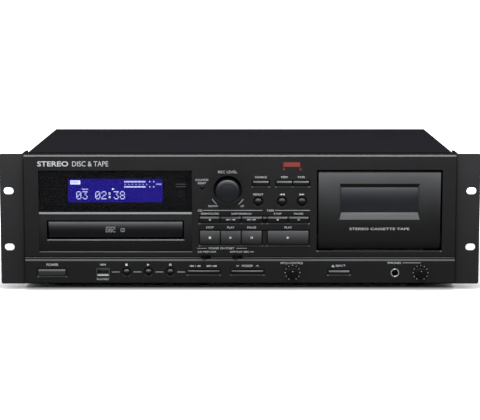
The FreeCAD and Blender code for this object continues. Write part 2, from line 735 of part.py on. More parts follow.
def pad(body, item, length, direction):
    feature = body.newObject("PartDesign::Pad", "Pad")
    feature.Profile = item
    bind(feature, "Length", length)
    feature.Reversed = direction != NORMAL[PLANE[item.Name]]
    return feature


def pocket(body, item, depth, direction):
    feature = body.newObject("PartDesign::Pocket", "Pocket")
    feature.Profile = item
    bind(feature, "Length", depth)
    feature.Reversed = direction == NORMAL[PLANE[item.Name]]
    return feature


def turned(body, axis, centre, profile, cut=False, bends=None):
    """Revolve a profile of (radius, place along the axis) about an axis along Y or Z."""
    if axis == "Y":
        item = sketch(body, "XY", centre[1], (centre[0], 0))
    else:
        item = sketch(body, "XZ", centre[1], (centre[0], 0))
    outline(item, profile, bends)
    kind = "PartDesign::Groove" if cut else "PartDesign::Revolution"
    feature = body.newObject(kind, "Turned")
    feature.Profile = item
    feature.ReferenceAxis = (item, ["V_Axis"])
    feature.Angle = 360
    return feature


def dress(body, kind, amount, choose):
    """Fillet or chamfer the edges of the body's tip that choose accepts."""
    DOC.recompute()
    base = body.Tip
    names = ["Edge%d" % index for index, edge in enumerate(base.Shape.Edges, start=1) if choose(edge)]
    feature = body.newObject("PartDesign::" + kind, kind)
    feature.Base = (base, names)
    bind(feature, "Radius" if kind == "Fillet" else "Size", amount)
    return feature


def lies(edge, axis, **places):
    """True where an edge runs along axis and its middle has the given places."""
    box = edge.BoundBox
    spans = {"X": box.XLength, "Y": box.YLength, "Z": box.ZLength}
    if any(spans[other] > 1e-6 for other in "XYZ".replace(axis, "")):
        return False
    centre = {"x": box.Center.x, "y": box.Center.y, "z": box.Center.z}
    return all(abs(centre[key] - size.value) < 1e-4 for key, size in places.items())


# Rows of keys: name, left edge, width, lower and upper edge

KEYS = [
    ("open_close_button", S.keypad_left, S.key_width, S.slim_low, S.slim_high),
    ("skip_back_button", S.keypad_left + KEY_PITCH, S.key_width, S.slim_low, S.slim_high),
    ("skip_forward_button", S.keypad_left + 2 * KEY_PITCH, S.key_width, S.slim_low, S.slim_high),
    ("tape_stop_button", TAPE_LEFT, S.key_width, S.slim_low, S.slim_high),
    ("tape_pause_button", TAPE_LEFT + KEY_PITCH, S.key_width, S.slim_low, S.slim_high),
    ("disc_stop_button", S.keypad_left, S.key_width, S.main_low, S.main_high),
    ("disc_play_button", S.keypad_left + KEY_PITCH, S.key_width, S.main_low, S.main_high),
    ("disc_pause_button", S.keypad_left + 2 * KEY_PITCH, S.key_width, S.main_low, S.main_high),
    ("tape_play_button", TAPE_LEFT, 2 * S.key_width + S.key_gap, S.main_low, S.main_high),
    ("source_button", S.source_left, S.source_width, S.upper_low, S.upper_high),
    ("record_memory_button", S.record_left, S.record_width, S.upper_low, S.upper_high),
    ("record_tape_button", S.record_left + S.record_width + S.key_gap, S.record_width,
     S.upper_low, S.upper_high),
    ("power_button", S.power_left, S.power_width, S.power_low, S.power_high),
    ("eject_button", S.eject_left, S.eject_width, S.rocker_low, S.rocker_high),
]

LARGE_KEYS = ("disc_stop_button", "disc_play_button", "disc_pause_button", "tape_play_button")

DOTS = [
    ("repeat_button", S.repeat_place, S.wind_height, S.dot_radius),
    ("rewind_button", S.rewind_place, S.wind_height, S.wind_radius),
    ("fast_forward_button", S.forward_place, S.wind_height, S.wind_radius),
    ("memory_stop_button", S.memory_first, S.memory_height, S.memory_radius),
    ("memory_play_button", S.memory_first + S.memory_pitch, S.memory_height, S.memory_radius),
    ("memory_pause_button", S.memory_first + 2 * S.memory_pitch, S.memory_height, S.memory_radius),
    ("counter_reset_button", S.reset_place, S.reset_height, S.reset_radius),
]

ROCKERS = [("skip_rocker", S.skip_centre), ("folder_rocker", S.folder_centre)]

SWITCHES = [("timer_switch", S.timer_place), ("noise_switch", S.noise_place)]

# Recessed rows of the panel: face, left and right of the keys, lower edge of the recess and upper
# edge of the keys
KEYS_RIGHT = TAPE_LEFT + KEY_PITCH + S.key_width
ROWS = [
    (FACE, S.keypad_left, KEYS_RIGHT, S.slim_low - S.sill_room, S.slim_high),
    (FACE, S.keypad_left, KEYS_RIGHT, S.main_low - S.recess_margin, S.main_high),
    (FACE, S.source_left, S.source_left + S.source_width, S.upper_low - S.sill_room, S.upper_high),
    (FACE, S.record_left, S.record_left + 2 * S.record_width + S.key_gap,
     S.upper_low - S.sill_room, S.upper_high),
    (BAND, S.power_left, S.power_left + S.power_width, S.power_low - S.sill_room, S.power_high),
    (BAND, S.eject_left, S.eject_left + S.eject_width, S.rocker_low - S.sill_room, S.rocker_high),
    (BAND, S.skip_centre - S.rocker_width / 2, S.skip_centre + S.rocker_width / 2,
     S.rocker_low - S.sill_room, S.rocker_high),
    (BAND, S.folder_centre - S.rocker_width / 2, S.folder_centre + S.rocker_width / 2,
     S.rocker_low - S.sill_room, S.rocker_high),
]

# Windows through those rows: left, right, lower and upper edge of the keys in each
DISC_RIGHT = TAPE_LEFT - S.divider_width - 2 * S.key_gap
WINDOWS = [
    (S.keypad_left, DISC_RIGHT, S.slim_low, S.slim_high),
    (TAPE_LEFT, KEYS_RIGHT, S.slim_low, S.slim_high),
    (S.keypad_left, DISC_RIGHT, S.main_low, S.main_high),
    (TAPE_LEFT, KEYS_RIGHT, S.main_low, S.main_high),
    (S.source_left, S.source_left + S.source_width, S.upper_low, S.upper_high),
    (S.record_left, S.record_left + 2 * S.record_width + S.key_gap, S.upper_low, S.upper_high),
    (S.power_left, S.power_left + S.power_width, S.power_low, S.power_high),
    (S.eject_left, S.eject_left + S.eject_width, S.rocker_low, S.rocker_high),
    (S.skip_centre - S.rocker_width / 2, S.skip_centre + S.rocker_width / 2,
     S.rocker_low, S.rocker_high),
    (S.folder_centre - S.rocker_width / 2, S.folder_centre + S.rocker_width / 2,
     S.rocker_low, S.rocker_high),
]


def in_band(name):
    return name.startswith(("power", "eject", "memory"))


# Front panel moulding

def make_front_panel():
    body = new_body("front_panel")
    side = sketch(body, "YZ", -HALF)
    outline(side, [(BAND, PANEL_LOW), (RIM, PANEL_LOW), (RIM, PANEL_HIGH), (FACE, PANEL_HIGH),
                   (FACE, up(S.ledge_high)), (BAND, up(S.ledge_low))])
    pad(body, side, S.panel_width, 1)
    hollow = sketch(body, "XZ", RIM)
    inner = HALF - S.panel_wall
    rectangle(hollow, (-inner, inner), (PANEL_LOW + S.panel_wall, PANEL_HIGH - S.panel_wall))
    pocket(body, hollow, S.rim_depth - S.panel_wall, -1)

    groove = sketch(body, "XZ", FACE)
    rectangle(groove, (-HALF, HALF), (up(S.groove_low), up(S.groove_high)))
    pocket(body, groove, S.groove_depth, 1)
    seat = sketch(body, "XZ", FACE)
    rectangle(seat, (S.field_left, S.field_right), (up(S.display_low), up(S.display_high)))
    pocket(body, seat, S.display_depth, 1)
    field = sketch(body, "XZ", FACE)
    rectangle(field, (S.field_left, S.field_right), (up(S.field_low), up(S.field_high)))
    pocket(body, field, S.groove_depth, 1)

    margin = S.recess_margin
    for plane in (FACE, BAND):
        rows = sketch(body, "XZ", plane)
        for face, left, right, low, high in ROWS:
            if face is plane:
                rectangle(rows, (left - margin, right + margin), (up(low), up(high) + margin))
        pocket(body, rows, S.recess_depth, 1)
    openings = sketch(body, "XZ", FACE)
    rectangle(openings, around(S.tray_middle, S.tray_slot_width),
              (up(S.tray_slot_low), up(S.tray_slot_high)))
    rectangle(openings, (S.door_left, S.door_right), (up(S.door_low), up(S.door_high)))
    rectangle(openings, (S.field_left + S.pane_seat, S.field_right - S.pane_seat),
              (up(S.display_low) + S.pane_seat, up(S.display_high) - S.pane_seat))
    pocket(body, openings, S.panel_wall, 1)
    dress(body, "Chamfer", S.sill, is_sill)
    dress(body, "Chamfer", S.display_sill, lambda edge: lies(edge, "X", y=FACE, z=up(S.display_low)))
    dress(body, "Chamfer", S.lip, lambda edge: any(
        lies(edge, "X", y=FACE, z=up(height)) for height in (S.groove_low, S.field_low)))

    windows = sketch(body, "XZ", BAND)
    gap = S.run_gap
    for left, right, low, high in WINDOWS:
        rectangle(windows, (left - gap, right + gap), (up(low) - gap, up(high) + gap))
    rectangle(windows, around(S.port_place, S.port_width + 2 * S.fit_gap),
              around(up(S.port_height), S.port_rise + 2 * S.fit_gap))
    pocket(body, windows, S.panel_wall + S.band_step, 1)
    windows = sketch(body, "XZ", FACE)
    for name, place in SWITCHES:
        rectangle(windows, around(place, S.mode_window), (up(S.mode_low), up(S.mode_high)))
    pocket(body, windows, S.panel_wall, 1)
    for low, high, large in ((S.slim_low, S.slim_high, False), (S.main_low, S.main_high, True)):
        divider = sketch(body, "YZ", DISC_RIGHT + S.key_gap)
        key_outline(divider, FACE - S.key_proud, up(low), up(high), large,
                    [(WALL, up(low)), (WALL, up(high))])
        pad(body, divider, S.divider_width, 1)

    for plane, dots in ((FACE, DOTS[:3]), (BAND, DOTS[3:6])):
        dishes = sketch(body, "XZ", plane)
        for name, place, height, radius in dots:
            circle(dishes, place, up(height), radius + S.dot_dish)
        pocket(body, dishes, S.recess_depth, 1)
    dress(body, "Chamfer", S.lip, is_dish_rim)
    holes = sketch(body, "XZ", BAND)
    for name, place, height, radius in DOTS:
        circle(holes, place, up(height), radius + gap)
    circle(holes, S.jack_place, up(S.trim_height), S.jack_collar + S.fit_gap)
    for place in (S.pitch_place, S.phones_place):
        circle(holes, place, up(S.trim_height), S.trim_shaft + S.shaft_room)
    circle(holes, S.level_place, up(S.level_height), S.level_shaft + S.shaft_room)
    pocket(body, holes, S.panel_wall + S.band_step, 1)
    turned(body, "Y", (S.level_place, up(S.level_height)),
           [(0, BAND), (S.level_dish, BAND), (S.level_dish, FACE),
            (S.level_dish - S.level_dish_depth, FACE + S.level_dish_depth),
            (0, FACE + S.level_dish_depth)], cut=True)

    bosses = sketch(body, "XZ", BOARD)
    inset = S.boss_inset
    low, high = PANEL_LOW + inset, PANEL_HIGH - inset
    between = (S.skip_centre + S.folder_centre) / 2
    for x, z in ((-HALF + inset, low), (-HALF + inset, high), (between, low), (between, high),
                 (HALF - inset, low), (HALF - inset, high)):
        circle(bosses, x, z, S.boss_radius)
    pad(body, bosses, BOARD - WALL, -1)
    dress(body, "Chamfer", S.panel_bevel, lambda edge: lies(edge, "X", y=FACE, z=PANEL_HIGH))
    dress(body, "Fillet", S.panel_round, is_lower_rim)


def is_sill(edge):
    """The lower edge of a recess that has a key row, the tray or the door."""
    rows = [(face, up(low)) for face, left, right, low, high in ROWS]
    rows.append((FACE + S.groove_depth, up(S.tray_slot_low)))
    rows.append((FACE, up(S.door_low)))
    return any(lies(edge, "X", y=face, z=low) for face, low in rows)


def is_dish_rim(edge):
    """The round edge, at the panel's face, of a dish for a small button."""
    box = edge.BoundBox
    for name, place, height, radius in DOTS[:6]:
        face = BAND if in_band(name) else FACE
        gaps = (box.YLength, box.YMin - face.value, box.Center.x - place.value,
                box.Center.z - up(height).value,
                box.XLength - 2 * (radius + S.dot_dish).value)
        if max(abs(gap) for gap in gaps) < 1e-3:
            return True
    return False


def is_lower_rim(edge):
    corner = any(lies(edge, "Y", x=side * HALF, z=PANEL_LOW) for side in (-1, 1))
    return corner or lies(edge, "X", y=BAND, z=PANEL_LOW)


def make_display():
    pane = new_body("display_window")
    seat = FACE + S.display_depth
    face = sketch(pane, "XZ", seat)
    rectangle(face, (S.field_left + S.fit_gap, S.field_right - S.fit_gap),
              (up(S.display_low) + S.fit_gap, up(S.display_high) - S.fit_gap))
    pad(pane, face, S.pane, -1)
    dress(pane, "Chamfer", S.pane / 4, lambda edge: on_front(edge, seat - S.pane))

    screen = new_body("screen_module")
    front = seat + S.run_gap
    frame = sketch(screen, "XZ", front)
    rectangle(frame, (S.screen_left - S.screen_frame, S.screen_right + S.screen_frame),
              (up(S.screen_low) - S.screen_frame / 2, up(S.screen_high) + S.screen_frame / 2))
    pad(screen, frame, S.screen_depth, 1)
    glass = sketch(screen, "XZ", front)
    rectangle(glass, (S.screen_left, S.screen_right), (up(S.screen_low), up(S.screen_high)))
    pocket(screen, glass, S.pane / 2, 1)
    legs = sketch(screen, "XZ", front + S.screen_depth)
    for x in (S.screen_left, S.screen_right):
        for z in (up(S.screen_low) + S.screen_frame, up(S.screen_high) - S.screen_frame):
            rectangle(legs, around(x, S.screen_frame), around(z, S.screen_frame))
    pad(screen, legs, BOARD - front - S.screen_depth, 1)


def on_front(edge, place):
    box = edge.BoundBox
    return box.YLength < 1e-6 and abs(box.YMin - Size.of(place).value) < 1e-4


# Case

def make_chassis():
    body = new_body("base_chassis")
    half = HALF - S.sheet - S.fit_gap
    rear = REAR - 2 * S.sheet
    front = RIM + S.fit_gap
    side = sketch(body, "YZ", -half)
    outline(side, [(front, S.foot_height), (rear, S.foot_height), (rear, FLOOR),
                   (front + S.sheet, FLOOR), (front + S.sheet, TOP - S.panel_wall),
                   (front, TOP - S.panel_wall)])
    pad(body, side, 2 * half, 1)
    for end in (-1, 1):
        wall = sketch(body, "YZ", end * half)
        rectangle(wall, (front, rear), (S.foot_height, FLOOR + S.chassis_side))
        pad(body, wall, S.sheet, -end)

    windows = sketch(body, "XZ", front)
    edge = 2 * S.tray_wall
    rectangle(windows, around(S.tray_middle, S.tray_slot_width + 2 * edge),
              (up(S.loader_floor) - edge, up(S.loader_top) + edge))
    rectangle(windows, (S.door_left - edge / 2, S.door_right + edge / 2),
              (up(S.door_low) - 3 * edge, up(S.door_high) - edge / 2))
    pocket(body, windows, S.sheet, 1)
    vents = sketch(body, "XY", S.foot_height)
    for index in range(6):
        long_hole(vents, S.vent_place, REAR - S.vent_place - S.vent_pitch * index,
                  S.vent_length, S.vent_width)
    pocket(body, vents, S.sheet, 1)
    dress(body, "Fillet", S.sheet, is_floor_bend)


def is_floor_bend(edge):
    return lies(edge, "X", y=RIM + S.fit_gap, z=S.foot_height)


def make_cover():
    body = new_body("top_cover")
    front = RIM + S.fit_gap
    skin = sketch(body, "XZ", front)
    rectangle(skin, (-HALF, HALF), (S.foot_height, TOP))
    pad(body, skin, REAR - front, 1)
    dress(body, "Fillet", S.cover_bend, lambda edge: any(
        lies(edge, "Y", x=end * HALF, z=TOP) for end in (-1, 1)))
    inner = sketch(body, "XZ", REAR - S.sheet)
    half = HALF - S.sheet
    rectangle(inner, (-half, half), (S.foot_height, TOP - S.sheet))
    pocket(body, inner, REAR - S.sheet - front, -1)
    rear = sketch(body, "XZ", REAR)
    lip = HALF - S.cover_lip
    rectangle(rear, (-lip, lip), (S.foot_height, TOP - S.cover_lip))
    pocket(body, rear, S.sheet, -1)
    dress(body, "Fillet", S.sheet * 0.8, is_cover_rear)


def is_cover_rear(edge):
    return lies(edge, "X", y=REAR, z=TOP) and edge.BoundBox.XLength > S.cover_bend.value


def make_rear_panel():
    body = new_body("rear_panel")
    half = HALF - 2 * S.sheet - 2 * S.fit_gap
    plate = sketch(body, "XZ", REAR - S.sheet)
    rectangle(plate, (-half, half), (FLOOR, TOP - S.sheet - S.fit_gap))
    pad(body, plate, S.sheet, -1)
    foot = sketch(body, "XZ", REAR - S.sheet)
    rectangle(foot, (-half, half), (FLOOR, FLOOR + S.sheet))
    pad(body, foot, S.cover_lip, -1)
    holes = sketch(body, "XZ", REAR - 2 * S.sheet)
    for x, z in line_places():
        circle(holes, x, z, S.line_radius + S.line_rim + S.fit_gap)
    rectangle(holes, around(S.inlet_place, S.inlet_width), around(up(S.inlet_height), S.inlet_rise))
    pocket(body, holes, S.sheet, 1)


def line_places():
    places = []
    for column in range(3):
        for row in range(2):
            places.append((S.line_first + 2 * column * S.line_pitch,
                           up(S.line_height) + row * S.line_pitch))
    return places


def make_ear(name, side):
    body = new_body(name)
    inner = HALF + S.fit_gap
    front = FACE + S.ear_setback
    shape = sketch(body, "XY", S.foot_height)
    bend, steel = S.ear_bend, S.ear_sheet
    points = [(inner, front + bend), (inner + bend, front), (EAR_END, front),
              (EAR_END, front + steel), (inner + steel, front + steel),
              (inner + steel, front + S.ear_depth), (inner, front + S.ear_depth)]
    if side > 0:
        outline(shape, points, {0: bend})
    else:
        outline(shape, [(-Size.of(x), y) for x, y in reversed(points)], {5: bend})
    pad(body, shape, S.panel_height, 1)
    slots = sketch(body, "XZ", front)
    for end in (-1, 1):
        long_hole(slots, side * (EAR_END - S.slot_edge), MID + end * S.slot_rise / 2,
                  S.slot_length, S.slot_width)
    pocket(body, slots, S.ear_sheet, 1)
    screws = sketch(body, "YZ", side * inner)
    for end in (-1, 1):
        circle(screws, front + S.ear_screw_place, MID + end * S.slot_rise / 2, S.ear_screw)
    pocket(body, screws, S.ear_sheet, side)
    dress(body, "Fillet", S.ear_corner, lambda edge: edge.BoundBox.YLength > 1 and any(
        lies(edge, "Y", x=side * EAR_END, z=height) for height in (S.foot_height, TOP)))


def make_feet():
    feet = []
    for x in (-HALF + S.foot_inset_x, HALF - S.foot_inset_x):
        for y in (FACE + S.foot_inset_y, REAR - S.foot_inset_y):
            feet.append(cone("Z", (x, y), S.foot_radius - S.foot_taper, S.foot_radius,
                             (0, S.foot_height)))
    node(joined(feet), "rubber_feet")


# Controls

def key_outline(item, face, low, high, large, behind):
    """The side of a key, given the points behind its lower and then its upper edge. A large key
    has a leaning, slightly crowned face; a slim one is a ridge with a sloping top."""
    if large:
        points = [(face, low)] + behind + [(face + S.key_lean, high)]
        outline(item, points, {len(points) - 1: S.key_crown})
    else:
        outline(item, [(face + S.key_under, low)] + behind
                + [(face + S.key_fall, high), (face, high - S.key_bevel)])


def make_key(name, left, width, low, high):
    """A key with a stop flange behind the panel and a stem to its switch."""
    body = new_body(name)
    face = (BAND if in_band(name) else FACE) - S.key_proud
    low, high = up(low), up(high)
    stop = WALL + S.fit_gap
    back = stop + S.key_flange
    reach = 2 * S.run_gap + S.key_flange
    side = sketch(body, "YZ", left)
    key_outline(side, face, low, high, name in LARGE_KEYS,
                [(stop, low), (stop, low - reach), (back, low - reach),
                 (back, high + reach), (stop, high + reach), (stop, high)])
    pad(body, side, width, 1)
    stem = sketch(body, "XZ", back)
    rectangle(stem, around(left + width / 2, S.key_stem), around((low + high) / 2, S.key_stem))
    pad(body, stem, STEM - back, 1)
    dress(body, "Chamfer", S.key_edge, lambda edge: is_key_end(edge, left, width, face))


def is_key_end(edge, left, width, face):
    box = edge.BoundBox
    at_end = box.XLength < 1e-6 and min(abs(box.XMin - left.value),
                                        abs(box.XMin - left.value - width.value)) < 1e-4
    return at_end and box.YMax < (face + 1.5 * S.key_fall).value and box.ZLength > 1


def make_dot(name, place, height, radius):
    """A round button with a domed face; the counter's is flush with the panel."""
    body = new_body(name)
    small = radius is S.reset_radius
    face = (BAND if in_band(name) else FACE) - (0 if small else S.dot_proud)
    crown = S.reset_crown if small else S.dot_crown
    stop = WALL + S.fit_gap
    back = stop + S.key_flange
    reach = radius + 2 * S.run_gap + S.key_flange
    turned(body, "Y", (place, up(height)),
           [(0, face), (0, STEM), (S.key_stem / 2, STEM), (S.key_stem / 2, back),
            (reach, back), (reach, stop), (radius, stop), (radius, face + crown)],
           bends={7: -(radius * radius + crown * crown) / (2 * crown)})


def make_rocker(name, place):
    """A rocker with a bowed face, on a trunnion behind the panel, with a stem at each end."""
    body = new_body(name)
    face = BAND - S.rocker_proud
    low, high = up(S.rocker_low), up(S.rocker_high)
    bar = sketch(body, "XY", low)
    half = S.rocker_width / 2
    back = FACE + S.panel_wall / 2
    outline(bar, [(place - half, face), (place + half, face), (place + half, back),
                  (place - half, back)], {0: S.rocker_bow})
    pad(body, bar, high - low, 1)
    for amount, height in ((S.rocker_bevel, high), (S.rocker_under, low)):
        dress(body, "Chamfer", amount, lambda edge: edge.BoundBox.ZLength < 1e-6
              and abs(edge.BoundBox.ZMin - height.value) < 1e-4
              and abs(edge.BoundBox.YMax - face.value) < 1e-4)
    stop = WALL + S.fit_gap
    lug = sketch(body, "XZ", back)
    rectangle(lug, around(place, S.key_stem), (low, high))
    pad(body, lug, stop - back, 1)
    trunnion = sketch(body, "XZ", stop)
    reach = 2 * S.run_gap + 2 * S.key_flange
    rectangle(trunnion, around(place, S.key_stem), (low - reach, high + reach))
    pad(body, trunnion, 2 * S.key_flange, 1)
    stems = sketch(body, "XZ", back)
    for end in (-1, 1):
        rectangle(stems, around(place + end * S.rocker_spread / 2, S.rocker_stem),
                  around((low + high) / 2, S.rocker_stem))
    pad(body, stems, STEM - back, 1)


def make_switch(name, place):
    middle = (up(S.mode_low) + up(S.mode_high)) / 2
    rise = S.mode_high - S.mode_low - S.run_gap
    stop = WALL + S.fit_gap
    rest = place + S.mode_rest
    knob = block(around(rest, S.mode_knob), (BAND, stop), around(middle, rise))
    plate = block(around(rest, S.mode_window + 2 * S.mode_plate), (stop, stop + S.key_flange),
                  around(middle, rise + S.mode_plate))
    stem = block(around(rest, S.mode_knob), (stop + S.key_flange, BOARD - S.mode_case - S.fit_gap),
                 around(middle, rise / 2))
    grips = [block(around(rest + step * S.mode_pitch, S.mode_grip), (BAND - S.mode_grip, BAND),
                   around(middle, rise)) for step in (-1, 0, 1)]
    node(joined([knob, plate, stem] + grips), name)


def make_level_knob():
    """A hollow knob with a rounded front edge, on a shaft that reaches the board."""
    body = new_body("rec_level_knob")
    radius = S.level_radius
    floor = FACE + S.level_dish_depth - S.run_gap
    face = FACE - S.knob_reach
    end = BOARD - S.shaft_end
    inside = floor - S.level_hollow
    turned(body, "Y", (S.level_place, up(S.level_height)),
           [(0, face + S.level_cap_depth), (0, end), (S.level_shaft, end), (S.level_shaft, inside),
            (radius - S.level_wall, inside), (radius - S.level_wall, floor), (radius, floor),
            (radius, face + S.level_round), (radius - S.level_round, face), (S.level_cap, face),
            (S.level_cap - S.level_cap_depth, face + S.level_cap_depth)],
           bends={7: -S.level_round})
    rib = sketch(body, "XZ", floor)
    rectangle(rib, around(S.level_place, 2 * radius - S.level_wall),
              around(up(S.level_height), S.level_rib))
    pad(body, rib, S.level_hollow + S.level_cap_depth, -1)


def make_trim_knob(name, place):
    """A small knob with flutes round its front part."""
    body = new_body(name)
    radius = S.trim_radius
    face = BAND - S.trim_reach
    floor = BAND - S.run_gap
    end = BOARD - S.shaft_end
    turned(body, "Y", (place, up(S.trim_height)),
           [(0, face), (0, end), (S.trim_shaft, end), (S.trim_shaft, floor), (radius, floor),
            (radius, face + S.trim_edge), (radius - S.trim_edge, face)])
    flute = sketch(body, "XZ", face, (place, up(S.trim_height)))
    circle(flute, 0, S.flute_place, S.flute)
    first = pocket(body, flute, S.trim_reach - S.flute_end, 1)
    flutes = body.newObject("PartDesign::PolarPattern", "Flutes")
    flutes.Originals = [first]
    flutes.Axis = (flute, ["N_Axis"])
    flutes.Angle = 360
    flutes.Occurrences = 12
    body.Tip = flutes


def make_port():
    """A stamped shell with a contact tongue, on a foot that reaches the board."""
    height, shell = up(S.port_height), S.port_shell
    back = BAND + S.port_depth
    outer = block(around(S.port_place, S.port_width), (BAND, back), around(height, S.port_rise))
    mouth = block(around(S.port_place, S.port_width - 2 * shell), (BAND - S.band_step, back - S.port_back),
                  around(height, S.port_rise - 2 * shell))
    low = height - S.port_rise / 2 + shell + S.port_tongue_place
    width = S.port_width - 4 * shell
    tongue = block(around(S.port_place, width), (BAND + S.port_tongue_back, back),
                   (low, low + S.port_tongue))
    foot = block(around(S.port_place, width), (back, BOARD), around(height, S.port_rise - 2 * shell))
    node(joined([without(outer, [mouth]), tongue, foot]), "memory_port")


def make_jack():
    """A socket for a headphone plug: a ring in the panel and a case on the board."""
    centre = (S.jack_place, up(S.trim_height))
    mouth, stop = BAND - S.jack_lip, WALL + S.fit_gap
    collar = rod("Y", centre, S.jack_collar, (mouth, stop))
    case = block(around(centre[0], S.jack_case_width), (stop, BOARD), around(centre[1], S.jack_case_height))
    bore = rod("Y", centre, S.jack_bore, (mouth - S.jack_lip, mouth + S.jack_depth + S.jack_lip))
    rim = cone("Y", centre, S.jack_bore + S.jack_edge, S.jack_bore, (mouth, mouth + S.jack_edge))
    node(without(joined([collar, case]), [bore, rim]), "headphone_jack")


# Boards

def make_front_board():
    """The board behind the panel, with its key switches, controls and lamps."""
    inset = S.panel_wall + S.board_margin
    inner = HALF - inset
    span = (BOARD, BOARD + S.board)
    board = block((-inner, inner), span, (PANEL_LOW + inset, PANEL_HIGH - inset))
    margin = S.tray_wall
    cut = (BOARD - S.board, BOARD + 2 * S.board)
    tray = block(around(S.tray_middle, S.tray_slot_width + 2 * margin), cut,
                 (up(S.loader_floor) - 2 * margin, up(S.loader_top) + margin))
    door = block((S.door_left - S.board_margin, HALF), cut, (up(S.door_low) - margin, TOP))
    parts = [without(board, [tray, door])]
    spots = [(left + width / 2, (up(low) + up(high)) / 2) for name, left, width, low, high in KEYS]
    spots += [(place, up(height)) for name, place, height, radius in DOTS]
    for name, place in ROCKERS:
        for end in (-1, 1):
            spots.append((place + end * S.rocker_spread / 2, (up(S.rocker_low) + up(S.rocker_high)) / 2))
    top = BOARD - S.switch_height
    for x, z in spots:
        parts.append(block(around(x, S.switch_size), (top, BOARD), around(z, S.switch_size)))
        parts.append(block(around(x, S.plunger_size), (SWITCH, top), around(z, S.plunger_size)))
    middle = (up(S.mode_low) + up(S.mode_high)) / 2
    for name, place in SWITCHES:
        parts.append(block(around(place, S.mode_window + 2 * S.board_margin),
                           (BOARD - S.mode_case, BOARD), around(middle, S.switch_size)))
    controls = [(S.level_place, up(S.level_height), S.level_shaft, S.control_size),
                (S.pitch_place, up(S.trim_height), S.trim_shaft, S.trim_control_size),
                (S.phones_place, up(S.trim_height), S.trim_shaft, S.trim_control_size)]
    nose, case = WALL + S.bush_place, BOARD - S.control_depth
    bores = []
    for x, z, shaft, width in controls:
        parts.append(block(around(x, width), (case, BOARD), around(z, width)))
        parts.append(rod("Y", (x, z), shaft + S.bush_wall, (nose, case)))
        bores.append(rod("Y", (x, z), shaft + S.shaft_gap, (nose - S.board, BOARD + 2 * S.board)))
    node(without(joined(parts), bores), "front_board")


def make_main_board():
    """The board with the power supply and amplifier, on posts at its edges."""
    low = FLOOR + S.standoff
    top = low + S.board
    x, y = (S.main_left, S.main_right), (FACE + S.main_front, REAR - S.main_back)
    parts = [block(x, y, (low, top))]
    inset = S.standoff
    for place in (x[0] + inset, (x[0] + x[1]) / 2, x[1] - inset):
        for depth in (y[0] + inset, y[1] - inset):
            parts.append(block(around(place, S.post_size), around(depth, S.post_size), (FLOOR, low)))
    corner = (x[0] + S.can_pitch, y[1] - S.can_inset)
    for across, along in ((0, 0), (S.can_pitch, 0), (0, -S.can_pitch)):
        parts.append(rod("Z", (corner[0] + across, corner[1] + along), S.can_radius,
                         (top, top + S.can_height)))
    count = 9
    sink = x[0] + S.fin_place
    fins = (y[1] - S.fin_front, y[1] - S.fin_back)
    for index in range(count):
        first = sink + S.fin_pitch * index
        parts.append(block((first, first + S.fin), fins, (top, top + S.fin_height)))
    parts.append(block((sink, sink + S.fin_pitch * (count - 1)), around((fins[0] + fins[1]) / 2, 2 * S.fin),
                       (top, top + S.fin_height)))
    for place in (x[0] + S.chip_first, x[0] + S.chip_second):
        parts.append(block((place, place + S.chip), around((y[0] + y[1]) / 2, S.chip), (top, top + S.fin)))
    for place in (x[0] + S.plug_first, x[0] + S.plug_second, x[0] + S.plug_third):
        parts.append(block((place, place + S.plug_width), (y[0] + S.fin, y[0] + S.standoff),
                           (top, top + S.standoff)))
    node(joined(parts), "main_board")


def make_transformer():
    middle = REAR - S.core_behind
    low = FLOOR + S.core_foot
    high = low + S.core_height
    core = block(around(S.core_place, S.core_width), around(middle, S.core_depth), (low, high))
    coil = block(around(S.core_place, S.coil_width), around(middle, S.coil_depth),
                 (low + S.coil_inset, high - S.coil_inset))
    strap = block(around(S.core_place, S.core_width + S.standoff), around(middle, S.core_depth / 2),
                  (FLOOR, low))
    node(joined([core, coil, strap]), "power_transformer")


def make_line_sockets():
    places = line_places()
    (left, low), (right, high) = places[0], places[-1]
    edge = S.line_edge
    back = REAR - 2 * S.sheet
    front = back - S.line_case
    parts = [block((left - edge, right + edge), (front, back), (low - edge, high + edge))]
    parts.append(block((left, right), (front, REAR - S.sheet - S.cover_lip - S.fit_gap),
                       (FLOOR, low - edge)))
    bores = []
    for place in places:
        parts.append(rod("Y", place, S.line_radius, (back, REAR + S.socket_reach)))
        bores.append(rod("Y", place, S.line_bore, (back - S.line_case / 2, REAR + 2 * S.socket_reach)))
    node(without(joined(parts), bores), "line_socket_block")


def make_inlet():
    """A mains inlet with three flat pins in its mouth."""
    edge, height = S.inlet_edge, up(S.inlet_height)
    mouth_back = REAR - S.inlet_depth
    slack = 2 * S.fit_gap
    case = block(around(S.inlet_place, S.inlet_width - slack), (mouth_back - 4 * edge, REAR - S.sheet),
                 around(height, S.inlet_rise - slack))
    flange = block(around(S.inlet_place, S.inlet_width + 2 * edge), (REAR - S.sheet, REAR + edge / 2),
                   around(height, S.inlet_rise + 2 * edge))
    mouth = block(around(S.inlet_place, S.inlet_width - 2 * edge), (mouth_back, REAR + edge),
                  around(height, S.inlet_rise - 2 * edge))
    pins = []
    for step, rise in ((-S.inlet_spread, -S.inlet_pin / 2), (0, 1.5 * S.inlet_pin),
                       (S.inlet_spread, -S.inlet_pin / 2)):
        pins.append(block(around(S.inlet_place + step, S.inlet_pin), (mouth_back - edge, REAR - edge),
                          around(height + rise, 2 * S.inlet_pin)))
    node(joined([without(joined([case, flange]), [mouth])] + pins), "power_inlet")


# Disc tray and loader

